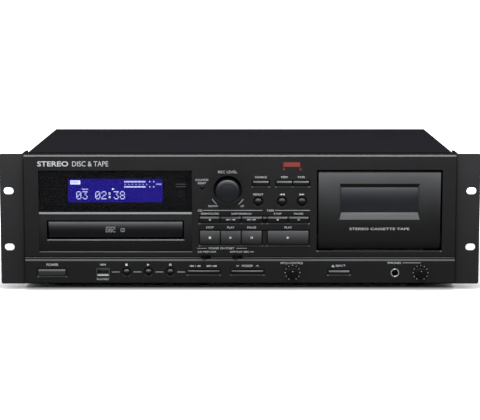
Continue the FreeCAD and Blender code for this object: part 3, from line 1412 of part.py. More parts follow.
TRAY_X = S.tray_middle
TRAY_FACE = FACE + S.tray_set_back
TRAY_Y = TRAY_FACE + S.tray_front_wall
TRAY_BACK = TRAY_Y + S.tray_length
TRAY_HALF = S.tray_width / 2
TRAY_UNDER = up(S.tray_top) - S.tray_plate
SKIRT = up(S.tray_top) - S.tray_skirt
RACK_FACE = TRAY_X + TRAY_HALF - S.tray_wall
PITCH_RADIUS = S.gear_module * S.gear_teeth / 2
ADDENDUM = S.gear_module
DEDENDUM = S.gear_module * 1.25
GEAR_X = RACK_FACE - DEDENDUM - PITCH_RADIUS
GEAR_Y = FACE + S.gear_place
TOOTH_PITCH = S.gear_module * math.pi
HALF_TOOTH = TOOTH_PITCH / 4 - S.backlash
PRESSURE_ANGLE = 20
SLOPE = math.tan(math.radians(PRESSURE_ANGLE))
PIVOT_Y = FACE + S.traverse_pivot
PIVOT_Z = up(S.traverse_top) - S.traverse_plate / 2
TRAVERSE_FRONT = DISC_Y - S.turntable_radius - S.traverse_end
TRAVERSE_BACK = PIVOT_Y + S.traverse_end


def make_tray_front():
    body = new_body("tray_front")
    gap = S.tray_slot_gap
    face = sketch(body, "XZ", TRAY_FACE)
    rectangle(face, around(TRAY_X, S.tray_slot_width - 2 * gap),
              (up(S.tray_slot_low) + gap, up(S.tray_slot_high) - gap))
    pad(body, face, S.tray_front_wall, 1)
    dress(body, "Fillet", S.edge_round, lambda edge: on_front(edge, TRAY_FACE))


def make_tray():
    body = new_body("disc_tray")
    plate = sketch(body, "XY", TRAY_UNDER)
    rectangle(plate, (TRAY_X - TRAY_HALF, TRAY_X + TRAY_HALF), (TRAY_Y, TRAY_BACK))
    pad(body, plate, S.tray_plate, 1)
    skirts = sketch(body, "XY", TRAY_UNDER)
    for end in (-1, 1):
        rectangle(skirts, around(TRAY_X + end * (TRAY_HALF - S.tray_wall / 2), S.tray_wall),
                  (TRAY_Y, TRAY_BACK))
    rectangle(skirts, around(TRAY_X, S.tray_width - 2 * S.tray_wall), (TRAY_Y, TRAY_Y + S.tray_wall))
    pad(body, skirts, S.tray_skirt - S.tray_plate, -1)
    for radius, depth in ((S.disc_radius, S.large_recess), (S.small_disc_radius, S.small_recess)):
        recess = sketch(body, "XY", up(S.tray_top))
        circle(recess, TRAY_X, DISC_Y, radius + S.disc_room)
        pocket(body, recess, depth, -1)
    for shape in ("round", "straight"):
        slot = sketch(body, "XY", up(S.tray_top))
        if shape == "round":
            circle(slot, TRAY_X, DISC_Y, S.hub_slot / 2)
        else:
            rectangle(slot, around(TRAY_X, S.hub_slot), (DISC_Y, TRAY_BACK))
        pocket(body, slot, S.tray_plate, -1)

    tooth = sketch(body, "XY", SKIRT)
    root, tip = HALF_TOOTH + DEDENDUM * SLOPE, HALF_TOOTH - ADDENDUM * SLOPE
    end = RACK_FACE - DEDENDUM - ADDENDUM
    outline(tooth, [(RACK_FACE, GEAR_Y - root), (RACK_FACE, GEAR_Y + root),
                    (end, GEAR_Y + tip), (end, GEAR_Y - tip)])
    first = pad(body, tooth, S.gear_height, 1)
    teeth = body.newObject("PartDesign::LinearPattern", "Rack")
    teeth.Originals = [first]
    teeth.Direction = (tooth, ["V_Axis"])
    count = int(S.tray_travel.value / TOOTH_PITCH.value) + 2
    bind(teeth, "Length", TOOTH_PITCH * (count - 1))
    teeth.Occurrences = count
    body.Tip = teeth


def make_loading_gear():
    body = new_body("loading_gear")
    low = SKIRT
    disc = sketch(body, "XY", low, (GEAR_X, GEAR_Y))
    circle(disc, 0, 0, PITCH_RADIUS - DEDENDUM)
    pad(body, disc, S.gear_height, 1)
    hub = sketch(body, "XY", low, (GEAR_X, GEAR_Y))
    circle(hub, 0, 0, S.gear_hub)
    pad(body, hub, low - up(S.loader_floor) - S.fit_gap, -1)
    bore = sketch(body, "XY", low + S.gear_height, (GEAR_X, GEAR_Y))
    circle(bore, 0, 0, S.pivot_radius + S.shaft_gap)
    pocket(body, bore, S.tray_skirt + S.gear_height, -1)
    tooth = sketch(body, "XY", low, (GEAR_X, GEAR_Y))
    count = int(S.gear_teeth.value)
    turn = math.pi / count
    root, tip = HALF_TOOTH + DEDENDUM * SLOPE, HALF_TOOTH - ADDENDUM * SLOPE
    inner, outer = PITCH_RADIUS - DEDENDUM - S.tooth_sink, PITCH_RADIUS + ADDENDUM
    corners = [(inner, -root), (outer, -tip), (outer, tip), (inner, root)]
    outline(tooth, [(out * math.cos(turn) - across * math.sin(turn),
                     out * math.sin(turn) + across * math.cos(turn)) for out, across in corners])
    first = pad(body, tooth, S.gear_height, 1)
    teeth = body.newObject("PartDesign::PolarPattern", "Teeth")
    teeth.Originals = [first]
    teeth.Axis = (disc, ["N_Axis"])
    teeth.Angle = 360
    teeth.Occurrences = count
    body.Tip = teeth


def make_loader():
    body = new_body("loader_frame")
    inner = TRAY_HALF + S.run_gap
    outer = inner + S.loader_wall
    y = (FACE + S.loader_front, FACE + S.loader_back)
    floor = up(S.loader_floor)
    top = up(S.loader_top)
    plate = sketch(body, "XY", floor - S.loader_plate)
    rectangle(plate, (TRAY_X - outer, TRAY_X + outer), y)
    pad(body, plate, S.loader_plate, 1)
    walls = sketch(body, "XY", floor)
    for end in (-1, 1):
        rectangle(walls, around(TRAY_X + end * (inner + outer) / 2, S.loader_wall), y)
    pad(body, walls, top - floor, 1)
    bridge = sketch(body, "XY", top)
    rectangle(bridge, (TRAY_X - outer, TRAY_X + outer), around(DISC_Y, S.bridge_width))
    pad(body, bridge, S.bridge_plate, 1)
    well = sketch(body, "XY", top + S.bridge_plate)
    circle(well, TRAY_X, DISC_Y, S.clamper_neck + S.clamper_room)
    pocket(body, well, S.bridge_plate, -1)
    window = sketch(body, "XY", floor)
    rectangle(window, around(TRAY_X, S.traverse_width + 2 * S.traverse_room),
              (TRAVERSE_FRONT - S.window_end, TRAVERSE_BACK + S.window_end))
    pocket(body, window, S.loader_plate, -1)

    rails = sketch(body, "XY", floor)
    guides = sketch(body, "XY", up(S.tray_top) + S.run_gap)
    for end in (-1, 1):
        rectangle(rails, around(TRAY_X + end * (TRAY_HALF - S.tray_wall / 2), S.rail), y)
        rectangle(guides, around(TRAY_X + end * (inner - S.guide / 2), S.guide),
                  (y[0], y[0] + S.guide_length))
    pad(body, rails, SKIRT - floor - S.fit_gap, 1)
    pad(body, guides, S.loader_plate, 1)
    for end in (-1, 1):
        lug = sketch(body, "YZ", TRAY_X + end * (S.traverse_width / 2 + S.run_gap))
        rectangle(lug, around(PIVOT_Y, S.lug_width), (floor, PIVOT_Z + S.pivot_radius + S.lug_wall))
        pad(body, lug, 2 * S.pivot_radius, end)
        hole = sketch(body, "YZ", TRAY_X + end * (S.traverse_width / 2 + S.run_gap))
        circle(hole, PIVOT_Y, PIVOT_Z, S.pivot_radius + S.shaft_gap)
        pocket(body, hole, 2 * S.pivot_radius, end)
    axle = sketch(body, "XY", floor)
    circle(axle, GEAR_X, GEAR_Y, S.pivot_radius)
    pad(body, axle, SKIRT + S.gear_height - floor + S.fit_gap, 1)
    posts = sketch(body, "XY", floor - S.loader_plate)
    for end in (-1, 1):
        for place in (y[0] + S.post_front, y[1] - S.post_rear):
            circle(posts, TRAY_X + end * (outer - S.post_inset), place, S.post_radius)
    pad(body, posts, floor - S.loader_plate - FLOOR, -1)


def make_clamper():
    body = new_body("disc_clamper")
    low = up(S.clamper_reach)
    rest = up(S.loader_top) + S.bridge_plate + S.fit_gap
    edge = S.turntable_radius - S.clamper_hollow
    disc = low + S.clamper_disc
    turned(body, "Z", (TRAY_X, DISC_Y),
           [(0, low + S.clamper_hollow), (S.spindle_radius, low + S.clamper_hollow),
            (S.hub_radius, disc), (S.hub_radius + 2 * S.fit_gap, low), (edge, low), (edge, disc),
            (S.clamper_neck, disc + 2 * S.fit_gap), (S.clamper_neck, rest), (S.clamper_radius, rest),
            (S.clamper_radius, rest + S.clamper_flange), (0, rest + S.clamper_flange)])


def make_traverse():
    body = new_body("traverse_frame")
    half = S.traverse_width / 2
    low = up(S.traverse_top) - S.traverse_plate
    plate = sketch(body, "XY", low)
    rectangle(plate, (TRAY_X - half, TRAY_X + half), (TRAVERSE_FRONT, TRAVERSE_BACK))
    pad(body, plate, S.traverse_plate, 1)
    window = sketch(body, "XY", low)
    room = 2 * S.traverse_room
    first = DISC_Y + S.turntable_radius + room
    length = S.pickup_length + S.pickup_travel + room
    rectangle(window, around(TRAY_X, S.pickup_width + 2 * room), (first, first + length))
    pocket(body, window, S.traverse_plate, 1)
    rods = sketch(body, "XZ", first - S.rod_seat)
    for end in (-1, 1):
        circle(rods, TRAY_X + end * S.guide_spread / 2, PIVOT_Z, S.guide_radius)
    pad(body, rods, length + 2 * S.rod_seat, 1)
    motor = sketch(body, "XY", low)
    circle(motor, TRAY_X, DISC_Y, S.spindle_motor_radius)
    pad(body, motor, 2 * S.traverse_plate, -1)
    bore = sketch(body, "XY", up(S.traverse_top))
    circle(bore, TRAY_X, DISC_Y, S.spindle_radius + S.shaft_gap)
    pocket(body, bore, 3 * S.traverse_plate - S.motor_wall, -1)
    for end in (-1, 1):
        pin = sketch(body, "YZ", TRAY_X + end * half)
        circle(pin, PIVOT_Y, PIVOT_Z, S.pivot_radius)
        pad(body, pin, 2 * S.pivot_radius, end)


def make_turntable():
    body = new_body("turntable")
    seat = up(S.turntable_top)
    plate = up(S.traverse_top)
    under = seat - S.turntable_plate
    turned(body, "Z", (TRAY_X, DISC_Y),
           [(0, plate - 2 * S.traverse_plate), (S.spindle_radius, plate - 2 * S.traverse_plate),
            (S.spindle_radius, plate + S.fit_gap), (S.turntable_hub, plate + S.fit_gap),
            (S.turntable_hub, under), (S.turntable_radius, under), (S.turntable_radius, seat),
            (S.hub_radius, seat), (S.hub_radius, seat + S.cone_side),
            (S.hub_radius - S.cone_inset, seat + S.cone_rise), (0, seat + S.cone_rise)])


def make_pickup():
    """The laser pickup, which slides on the two guide rods."""
    first = DISC_Y + S.turntable_radius + 3 * S.traverse_room
    y = (first, first + S.pickup_length)
    middle = (TRAY_X, first + S.pickup_length / 2)
    top = up(S.traverse_top) + S.pickup_over
    case = block(around(TRAY_X, S.pickup_width), y, (up(S.traverse_top) - S.pickup_under, top))
    ring = rod("Z", middle, S.lens_radius, (top, top + S.lens_rise))
    lens = rod("Z", middle, S.lens_radius - S.lens_depth, (top + S.lens_rise - S.lens_depth,
                                                          top + 2 * S.lens_rise))
    bores = [rod("Y", (TRAY_X + end * S.guide_spread / 2, PIVOT_Z), S.guide_radius + S.shaft_gap,
                 (first - S.guide_radius, y[1] + S.guide_radius)) for end in (-1, 1)]
    node(without(joined([case, ring]), bores + [lens]), "pickup_sled")


# Cassette door and tape mechanism

DOOR_LEFT = S.door_left + S.door_gap
DOOR_RIGHT = S.door_right - S.door_gap
DOOR_TOP = up(S.door_high) - S.door_gap
HINGE_Y = FACE + S.door_bend
HINGE_Z = up(S.door_pivot)
CASSETTE_Y = FACE + S.door_plate + S.fit_gap
CASSETTE_BACK = CASSETTE_Y + S.cassette_depth + S.cassette_room
HOLDER = S.cassette_width / 2 + S.cassette_room
HUB_Z = up(S.hub_height)
CAPSTAN_X = CASSETTE_X + S.capstan_place
CAPSTAN_Z = up(S.capstan_height)
ROLLER_Z = CAPSTAN_Z - S.capstan_radius - S.roller_radius - S.head_travel - S.fit_gap
CARRIAGE_Y = DECK - S.fit_gap - S.carriage


def make_door():
    body = new_body("cassette_door")
    drop = S.door_pivot - S.door_foot
    back = (S.door_bend * S.door_bend - drop * drop).root()
    share = (S.door_bend - S.door_plate) / S.door_bend
    inside = FACE + S.door_plate
    side = sketch(body, "YZ", DOOR_LEFT)
    outline(side, [(FACE, DOOR_TOP), (FACE, HINGE_Z), (HINGE_Y - back, HINGE_Z - drop),
                   (HINGE_Y - back * share, HINGE_Z - drop * share), (inside, HINGE_Z),
                   (inside, DOOR_TOP)], {1: S.door_bend, 3: S.door_plate - S.door_bend})
    pad(body, side, DOOR_RIGHT - DOOR_LEFT, 1)
    dress(body, "Fillet", S.edge_round, is_door_rim)

    for end, start in ((-1, DOOR_LEFT), (1, DOOR_RIGHT)):
        cheek = sketch(body, "YZ", start)
        edge = S.cheek_edge
        outline(cheek, [(inside, HINGE_Z + S.cheek_rise), (inside, HINGE_Z - edge),
                        (HINGE_Y + edge, HINGE_Z - edge), (HINGE_Y + edge, HINGE_Z + edge)])
        pad(body, cheek, S.cheek, -end)
        pin = sketch(body, "YZ", start)
        circle(pin, HINGE_Y, HINGE_Z, S.pivot_pin)
        pad(body, pin, S.pin_length, end)
        holder = sketch(body, "XY", up(S.cassette_low))
        wall, lip = HOLDER + S.holder_wall, HOLDER - S.holder_lip
        rear = CASSETTE_BACK + S.holder_wall
        points = [(HOLDER, inside), (wall, inside), (wall, rear), (lip, rear), (lip, CASSETTE_BACK),
                  (HOLDER, CASSETTE_BACK)]
        if end > 0:
            outline(holder, [(CASSETTE_X + x, y) for x, y in points])
        else:
            outline(holder, [(CASSETTE_X - x, y) for x, y in reversed(points)])
        pad(body, holder, S.holder_height, 1)
        ledge = sketch(body, "XY", up(S.cassette_low) - S.fit_gap)
        corner = sorted([CASSETTE_X + end * wall, CASSETTE_X + end * (HOLDER - S.holder_ledge)],
                        key=lambda size: size.value)
        rectangle(ledge, corner, (inside, rear))
        pad(body, ledge, S.holder_wall, -1)

    slope = body.newObject("PartDesign::SubtractiveLoft", "Window")
    face = sketch(body, "XZ", FACE)
    rectangle(face, (S.window_left, S.window_right), (up(S.window_low), up(S.window_high)))
    glass = sketch(body, "XZ", inside - S.window_pane / 2)
    rectangle(glass, *window_opening(0))
    slope.Profile = face
    slope.Sections = [glass]
    slope.Ruled = True
    through = sketch(body, "XZ", inside)
    rectangle(through, *window_opening(0))
    pocket(body, through, S.door_plate, -1)
    seat = sketch(body, "XZ", inside)
    rectangle(seat, *window_opening(S.window_seat))
    pocket(body, seat, S.window_pane / 2, -1)


def window_opening(beyond):
    side = S.window_slope_side
    return ((S.window_left + side - beyond, S.window_right - side + beyond),
            (up(S.window_low) + S.window_slope_low - beyond,
             up(S.window_high) - S.window_slope_high + beyond))


def is_door_rim(edge):
    upper = lies(edge, "X", y=FACE, z=DOOR_TOP)
    middle = (DOOR_TOP + HINGE_Z) / 2
    ends = any(lies(edge, "Z", x=x, y=FACE, z=middle) for x in (DOOR_LEFT, DOOR_RIGHT))
    return upper or ends


def make_door_window():
    x, z = window_opening(S.window_seat - S.fit_gap / 2)
    inside = FACE + S.door_plate
    node(block(x, (inside - S.window_pane / 2, inside), z), "door_window")


def make_deck():
    """The plate that carries the tape mechanism, with its foot, arms, studs and motor."""
    body = new_body("tape_deck_chassis")
    left = DOOR_LEFT - S.run_gap - S.deck_sheet
    right = DOOR_RIGHT + S.run_gap + S.deck_sheet
    top = up(S.door_high) - S.deck_drop
    plate = sketch(body, "XZ", DECK)
    rectangle(plate, (left, right), (FLOOR, top))
    pad(body, plate, S.deck_sheet, 1)
    foot = sketch(body, "XZ", DECK)
    rectangle(foot, (left, right), (FLOOR, FLOOR + S.deck_sheet))
    pad(body, foot, S.deck_foot, 1)
    for end, start in ((-1, DOOR_LEFT - S.run_gap), (1, DOOR_RIGHT + S.run_gap)):
        arm = sketch(body, "YZ", start)
        nose = HINGE_Y - S.arm_reach
        outline(arm, [(nose, HINGE_Z - S.arm_end), (nose, HINGE_Z + S.arm_end),
                      (DECK, HINGE_Z + S.arm_root), (DECK, HINGE_Z - S.arm_root)])
        pad(body, arm, S.deck_sheet, end)
        hole = sketch(body, "YZ", start)
        circle(hole, HINGE_Y, HINGE_Z, S.pivot_pin + S.shaft_gap)
        pocket(body, hole, S.deck_sheet, end)
    holes = sketch(body, "XZ", DECK)
    for x in hub_places():
        circle(holes, x, HUB_Z, S.hub_shaft + S.shaft_gap)
    circle(holes, CAPSTAN_X, CAPSTAN_Z, S.capstan_radius + S.shaft_gap)
    circle(holes, CASSETTE_X, up(S.door_high) - S.sight_drop, S.sight_radius)
    pocket(body, holes, S.deck_sheet, 1)
    motor = sketch(body, "XZ", DECK + S.deck_sheet)
    circle(motor, CASSETTE_X - S.motor_place, up(S.motor_height), S.motor_radius)
    pad(body, motor, S.motor_depth, 1)
    studs = sketch(body, "XZ", DECK)
    for end in (-1, 1):
        circle(studs, CASSETTE_X + end * S.stud_place, up(S.stud_height), S.stud_radius)
    pad(body, studs, DECK - CARRIAGE_Y + S.stud_end, -1)
    dress(body, "Fillet", S.deck_corner, lambda edge: any(
        lies(edge, "Y", x=x, z=top) for x in (left, right)))


def hub_places():
    return [CASSETTE_X + end * S.hub_spread / 2 for end in (-1, 1)]


def make_hub(name, x):
    body = new_body(name)
    tip = DECK - S.hub_reach
    front = CASSETTE_BACK + S.holder_wall + S.run_gap
    wheel = DECK + S.deck_sheet + S.fit_gap
    shaft, sleeve = S.hub_shaft, S.hub_shaft + S.hub_sleeve
    turned(body, "Y", (x, HUB_Z),
           [(0, tip), (0, wheel + S.hub_end), (shaft, wheel + S.hub_end), (shaft, wheel + S.hub_disc),
            (S.hub_disc_radius, wheel + S.hub_disc), (S.hub_disc_radius, wheel), (shaft, wheel),
            (shaft, front + S.hub_plate), (S.hub_flange, front + S.hub_plate), (S.hub_flange, front),
            (sleeve, front), (sleeve, tip + S.hub_nose)])
    rib = sketch(body, "XZ", front, (x, HUB_Z))
    rectangle(rib, around(0, S.hub_rib), (S.hub_rib, shaft + S.hub_rib_reach))
    first = pad(body, rib, front - tip - S.hub_nose - S.hub_sleeve, -1)
    ribs = body.newObject("PartDesign::PolarPattern", "Ribs")
    ribs.Originals = [first]
    ribs.Axis = (rib, ["N_Axis"])
    ribs.Angle = 360
    ribs.Occurrences = 3
    body.Tip = ribs


def make_capstan():
    body = new_body("capstan_flywheel")
    tip = HINGE_Y - S.capstan_tip
    wheel = DECK + S.deck_sheet + S.flywheel_gap
    back = wheel + S.flywheel
    radius = S.flywheel_radius
    web, rim = wheel + S.flywheel_web, radius - S.flywheel_rim
    turned(body, "Y", (CAPSTAN_X, CAPSTAN_Z),
           [(0, tip), (0, back + S.flywheel_end), (S.flywheel_boss, back + S.flywheel_end),
            (S.flywheel_boss, web), (rim, web), (rim, back), (radius, back), (radius, wheel),
            (S.capstan_radius, wheel), (S.capstan_radius, tip)])


def make_head_block():
    """The carriage that lifts the heads and the pinch roller to the tape."""
    back = DECK - S.fit_gap
    top = up(S.carriage_high)
    carriage = block(around(CASSETTE_X, S.carriage_width), (CARRIAGE_Y, back), (up(S.carriage_low), top))
    reach = S.stud_radius + S.shaft_gap
    slots = [block(around(CASSETTE_X + end * S.stud_place, 2 * reach),
                   (CARRIAGE_Y - S.stud_end, back + S.fit_gap),
                   (up(S.stud_height) - reach - S.head_travel, up(S.stud_height) + reach))
             for end in (-1, 1)]
    y = (HINGE_Y - S.head_reach, CARRIAGE_Y)
    heads = [block(around(CASSETTE_X, S.head_width), y, (up(S.head_low), top)),
             block(around(CASSETTE_X - S.erase_place, S.erase_width), y,
                   (up(S.head_low), top - S.erase_drop))]
    axle = rod("Y", (CAPSTAN_X, ROLLER_Z), S.capstan_radius, (HINGE_Y - S.axle_reach, CARRIAGE_Y))
    arm = block(around(CAPSTAN_X, S.roller_arm_width), (CARRIAGE_Y - S.roller_arm, CARRIAGE_Y),
                around(ROLLER_Z, S.roller_arm_height))
    node(joined([without(carriage, slots), axle, arm] + heads), "head_block")


def make_roller():
    body = new_body("pinch_roller")
    low = HINGE_Y - S.roller_place
    high = low + S.roller_width
    bore = S.capstan_radius + S.shaft_gap
    radius, edge = S.roller_radius, S.roller_edge
    turned(body, "Y", (CAPSTAN_X, ROLLER_Z),
           [(bore, high), (radius - edge, high), (radius, high - edge), (radius, low + edge),
            (radius - edge, low), (bore, low)])


# The whole deck

def make_all():
    make_front_panel()
    make_display()
    make_chassis()
    make_cover()
    make_rear_panel()
    make_ear("left_rack_ear", -1)
    make_ear("right_rack_ear", 1)
    make_feet()
    for key in KEYS:
        make_key(*key)
    for dot in DOTS:
        make_dot(*dot)
    for rocker in ROCKERS:
        make_rocker(*rocker)
    for switch in SWITCHES:
        make_switch(*switch)
    make_level_knob()
    make_trim_knob("pitch_knob", S.pitch_place)
    make_trim_knob("phones_knob", S.phones_place)
    make_port()
    make_jack()
    make_front_board()
    make_main_board()
    make_transformer()
    make_line_sockets()
    make_inlet()
    make_tray_front()
    make_tray()
    make_loader()
    make_clamper()
    make_traverse()
    make_turntable()
    make_pickup()
    make_loading_gear()
    make_door()
    make_door_window()
    make_deck()
    for name, x in zip(("supply_hub", "takeup_hub"), hub_places()):
        make_hub(name, x)
    make_capstan()
    make_head_block()
    make_roller()


def check_features():
    for item in DOC.Objects:
        faults = {"Invalid", "Error"} & set(item.State)
        if faults:
            raise RuntimeError("%s (%s) did not build" % (item.Name, item.Label))
        if item.TypeId == "PartDesign::Pocket":
            before = item.BaseFeature.Shape.Volume
            if item.Shape.Volume > before - 1e-3:
                raise RuntimeError("%s of %s cuts nothing" % (item.Name, item.getParent().Label))


def save_nodes():
    os.makedirs("parts", exist_ok=True)
    for item in NODES:
        shape = item.Shape
        if shape.isNull() or not shape.isValid() or not shape.Solids:
            raise RuntimeError("%s has no sound solid" % item.Label)
        shape.exportStep("parts/%s.step" % item.Label)


make_all()
DOC.recompute()
check_features()
save_nodes()
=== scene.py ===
import json
import math

import bmesh
import bpy
from bpy.props import FloatProperty, FloatVectorProperty, PointerProperty
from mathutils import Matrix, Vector
from mathutils.bvhtree import BVHTree

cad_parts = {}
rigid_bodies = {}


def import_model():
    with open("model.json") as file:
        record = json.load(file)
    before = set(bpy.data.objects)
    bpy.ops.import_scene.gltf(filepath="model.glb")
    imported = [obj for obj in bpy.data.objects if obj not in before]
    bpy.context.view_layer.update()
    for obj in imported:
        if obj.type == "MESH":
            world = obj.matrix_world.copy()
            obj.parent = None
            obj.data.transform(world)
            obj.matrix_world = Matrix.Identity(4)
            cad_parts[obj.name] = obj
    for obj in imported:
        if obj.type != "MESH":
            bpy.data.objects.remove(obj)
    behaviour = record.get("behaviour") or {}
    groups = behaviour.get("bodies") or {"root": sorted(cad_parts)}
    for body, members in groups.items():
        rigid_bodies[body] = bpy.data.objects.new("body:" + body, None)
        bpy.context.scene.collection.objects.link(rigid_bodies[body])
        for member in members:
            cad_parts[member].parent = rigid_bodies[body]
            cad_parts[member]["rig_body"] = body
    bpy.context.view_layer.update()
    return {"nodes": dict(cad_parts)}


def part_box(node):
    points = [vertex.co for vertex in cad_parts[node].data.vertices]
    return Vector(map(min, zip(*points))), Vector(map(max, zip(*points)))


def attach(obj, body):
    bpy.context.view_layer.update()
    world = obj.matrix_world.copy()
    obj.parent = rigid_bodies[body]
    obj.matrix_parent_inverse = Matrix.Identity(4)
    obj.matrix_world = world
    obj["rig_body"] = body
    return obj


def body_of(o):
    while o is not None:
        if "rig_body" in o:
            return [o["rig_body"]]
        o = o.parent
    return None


bl_info = {
    "name": "Rack deck looks",
    "version": (1, 0, 0),
    "blender": (4, 5, 0),
    "location": "View3D > Sidebar > Rack deck",
    "description": "Finishes, lettering and small parts of a rack disc and cassette deck",
    "category": "Object",
}

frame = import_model()

# Places and sizes are millimetres in the part's frame, and piece() turns them into metres. Only the
# settings and the stage are in metres.
MM = 0.001


def in_mm(corners):
    return [corner / MM for corner in corners]


def heights(corners):
    return [corner.z / MM for corner in corners]


PANEL_LOW, PANEL_HIGH = in_mm(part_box("front_panel"))
MIDDLE = (PANEL_LOW.z + PANEL_HIGH.z) / 2
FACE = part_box("cassette_door")[0].y / MM
BAND = PANEL_LOW.y
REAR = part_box("top_cover")[1].y / MM
FRONT_SIDE, REAR_SIDE = -1, 1

DOTS = [name + "_button" for name in (
    "repeat", "rewind", "fast_forward", "memory_stop", "memory_play", "memory_pause",
    "counter_reset")]
KEYS = [node for node in frame["nodes"] if node.endswith("_button") and node not in DOTS]
ROCKERS = ["skip_rocker", "folder_rocker"]
KNOBS = ["rec_level_knob", "pitch_knob", "phones_knob"]


def middle_of(node):
    low, high = in_mm(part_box(node))
    return (low + high) / 2


# Sizes and colours a user would change

def colour(name, text, value):
    return FloatVectorProperty(name=name, description=text, default=value, size=3,
                               min=0, max=1, subtype="COLOR")


def length(name, text, value):
    return FloatProperty(name=name, description=text, default=value, subtype="DISTANCE", unit="LENGTH")


class DeckColours(bpy.types.PropertyGroup):
    panel: colour("Panel", "Lower part of the moulded front panel", (0.0165, 0.0165, 0.017))
    # The panel's top colour is painted light: the panel runs lighter towards the top.
    panel_top_painted_light: colour("Panel top", "Upper part of the moulded front panel", (0.0275, 0.0275, 0.0282))
    cover: colour("Cover", "Painted steel of the case", (0.0125, 0.0125, 0.0150))
    ear: colour("Ears", "Painted steel of the rack ears", (0.0245, 0.0245, 0.0252))
    key: colour("Keys", "Small keys", (0.012, 0.012, 0.0125))
    knob: colour("Knobs", "Turned knobs", (0.0165, 0.0175, 0.020))
    # The edge colour is a painted highlight on edges that tilt back towards the lamps.
    edge: colour("Edges", "Edges that catch the light", (0.076, 0.077, 0.079))
    print: colour("Print", "White lettering", (0.62, 0.63, 0.64))
    screen: colour("Screen", "Lit screen", (0.016, 0.007, 0.335))
    glyph: colour("Characters", "Characters on the screen", (0.62, 0.66, 1.0))
    record: colour("Record", "Red print", (0.27, 0.052, 0.042))
    steel: colour("Steel", "Bare plated steel", (0.46, 0.47, 0.48))
    board: colour("Board", "Circuit board lacquer", (0.012, 0.09, 0.035))


class DeckSizes(bpy.types.PropertyGroup):
    ink: length("Ink", "Thickness of the print", 0.04 * MM)
    edge: length("Edge", "Softening of the moulded edges", 0.25 * MM)
    label: length("Label", "Capital height of the small labels", 2.0 * MM)
    large_label: length("Large label", "Capital height of the larger labels", 2.5 * MM)
    title: length("Title", "Capital height of the name line", 5.2 * MM)
    line: length("Line", "Width of the printed lines", 0.38 * MM)
    screw: length("Screw", "Radius of a case screw's head", 3.1 * MM)


class DeckStage(bpy.types.PropertyGroup):
    distance: length("Distance", "Camera in front of the middle of the case", 1.7802)
    height: length("Height", "Camera above the floor", 0.3125)
    tilt: FloatProperty(name="Tilt", description="Camera below the horizon", subtype="ANGLE",
                        default=math.radians(7.98))
    lens: FloatProperty(name="Lens", description="Focal length in millimetres", default=124.2)
    softbox: FloatProperty(name="Softbox", description="Power of the overhead lamp in watts",
                           default=24)
    fill: FloatProperty(name="Fill", description="Power of the front lamp in watts", default=6)
    sky: FloatProperty(name="Sky", description="Brightness of the studio's walls", default=0.45)


SETTINGS = {"deck_colours": DeckColours, "deck_sizes": DeckSizes, "deck_stage": DeckStage}


def measure(name):
    """One of the user's sizes in millimetres."""
    return getattr(bpy.context.scene.deck_sizes, name) / MM


# Shader node groups

def feed(node, name, value):
    if isinstance(value, bpy.types.NodeSocket):
        node.id_data.links.new(value, node.inputs[name])
    else:
        node.inputs[name].default_value = value


def add(tree, kind, inputs=None, **settings):
    node = tree.nodes.new("ShaderNode" + kind)
    for key, value in settings.items():
        setattr(node, key, value)
    for name, value in (inputs or {}).items():
        feed(node, name, value)
    return node


def maths(tree, operation, first, second):
    return add(tree, "Math", {0: first, 1: second}, operation=operation).outputs[0]


def noise(tree, place, scale, detail=2, roughness=0.5):
    return add(tree, "TexNoise", {"Vector": place, "Scale": scale, "Detail": detail,
                                  "Roughness": roughness}).outputs[0]


def along(tree, vector, axis):
    return add(tree, "SeparateXYZ", {0: vector}).outputs[axis]


def ranged(tree, value, low, high, new_low=0, new_high=1):
    """The new range's number that lies as the value does between low and high."""
    return add(tree, "MapRange", {"Value": value, "From Min": low, "From Max": high,
                                  "To Min": new_low, "To Max": new_high}).outputs[0]


def effect(name, inputs, outputs):
    """A new shader group with number inputs and number outputs."""
    tree = bpy.data.node_groups.new(name, "ShaderNodeTree")
    new_socket = tree.interface.new_socket
    for label, value in inputs.items():
        new_socket(label, in_out="INPUT", socket_type="NodeSocketFloat").default_value = value
    for label in outputs:
        new_socket(label, in_out="OUTPUT", socket_type="NodeSocketFloat")
    return tree, tree.nodes.new("NodeGroupInput").outputs, tree.nodes.new("NodeGroupOutput")


def make_grain():
    """Fine texture of a moulding or of powder paint, with slow changes of sheen."""
    tree, given, result = effect("Grain", {"Scale": 2500, "Blotch": 25}, ["Height", "Variation"])
    place = add(tree, "TexCoord").outputs["Object"]
    fine = noise(tree, place, given["Scale"], 3, 0.6)
    cells = add(tree, "TexVoronoi", {"Vector": place, "Scale": given["Scale"]}).outputs[0]
    feed(result, "Height", maths(tree, "MULTIPLY", maths(tree, "ADD", fine, cells), 0.5))
    feed(result, "Variation", noise(tree, place, given["Blotch"], 5, 0.65))
    return tree


def make_brushing():
    """Long scratches along X, as on rolled or brushed metal."""
    tree, given, result = effect("Brushing", {"Scale": 900, "Stretch": 0.03}, ["Height", "Variation"])
    place = add(tree, "TexCoord").outputs["Object"]
    squeeze = add(tree, "CombineXYZ", {0: given["Stretch"], 1: 1.0, 2: 1.0}).outputs[0]
    stretched = add(tree, "VectorMath", {0: place, 1: squeeze}, operation="MULTIPLY").outputs[0]
    feed(result, "Height", noise(tree, stretched, given["Scale"], 4))
    feed(result, "Variation", noise(tree, place, 30, 3))
    return tree


def make_dust():
    """A thin film of dust that settles on faces that look up."""
    tree, given, result = effect("Dust", {"Amount": 0.05}, ["Mask"])
    coordinates = add(tree, "TexCoord").outputs
    lying = maths(tree, "MAXIMUM", along(tree, coordinates["Normal"], "Z"), 0.0)
    specks = noise(tree, coordinates["Object"], 700, 6, 0.7)
    cover = maths(tree, "MULTIPLY", maths(tree, "POWER", specks, 2.0), lying)
    feed(result, "Mask", maths(tree, "MULTIPLY", cover, given["Amount"]))
    return tree


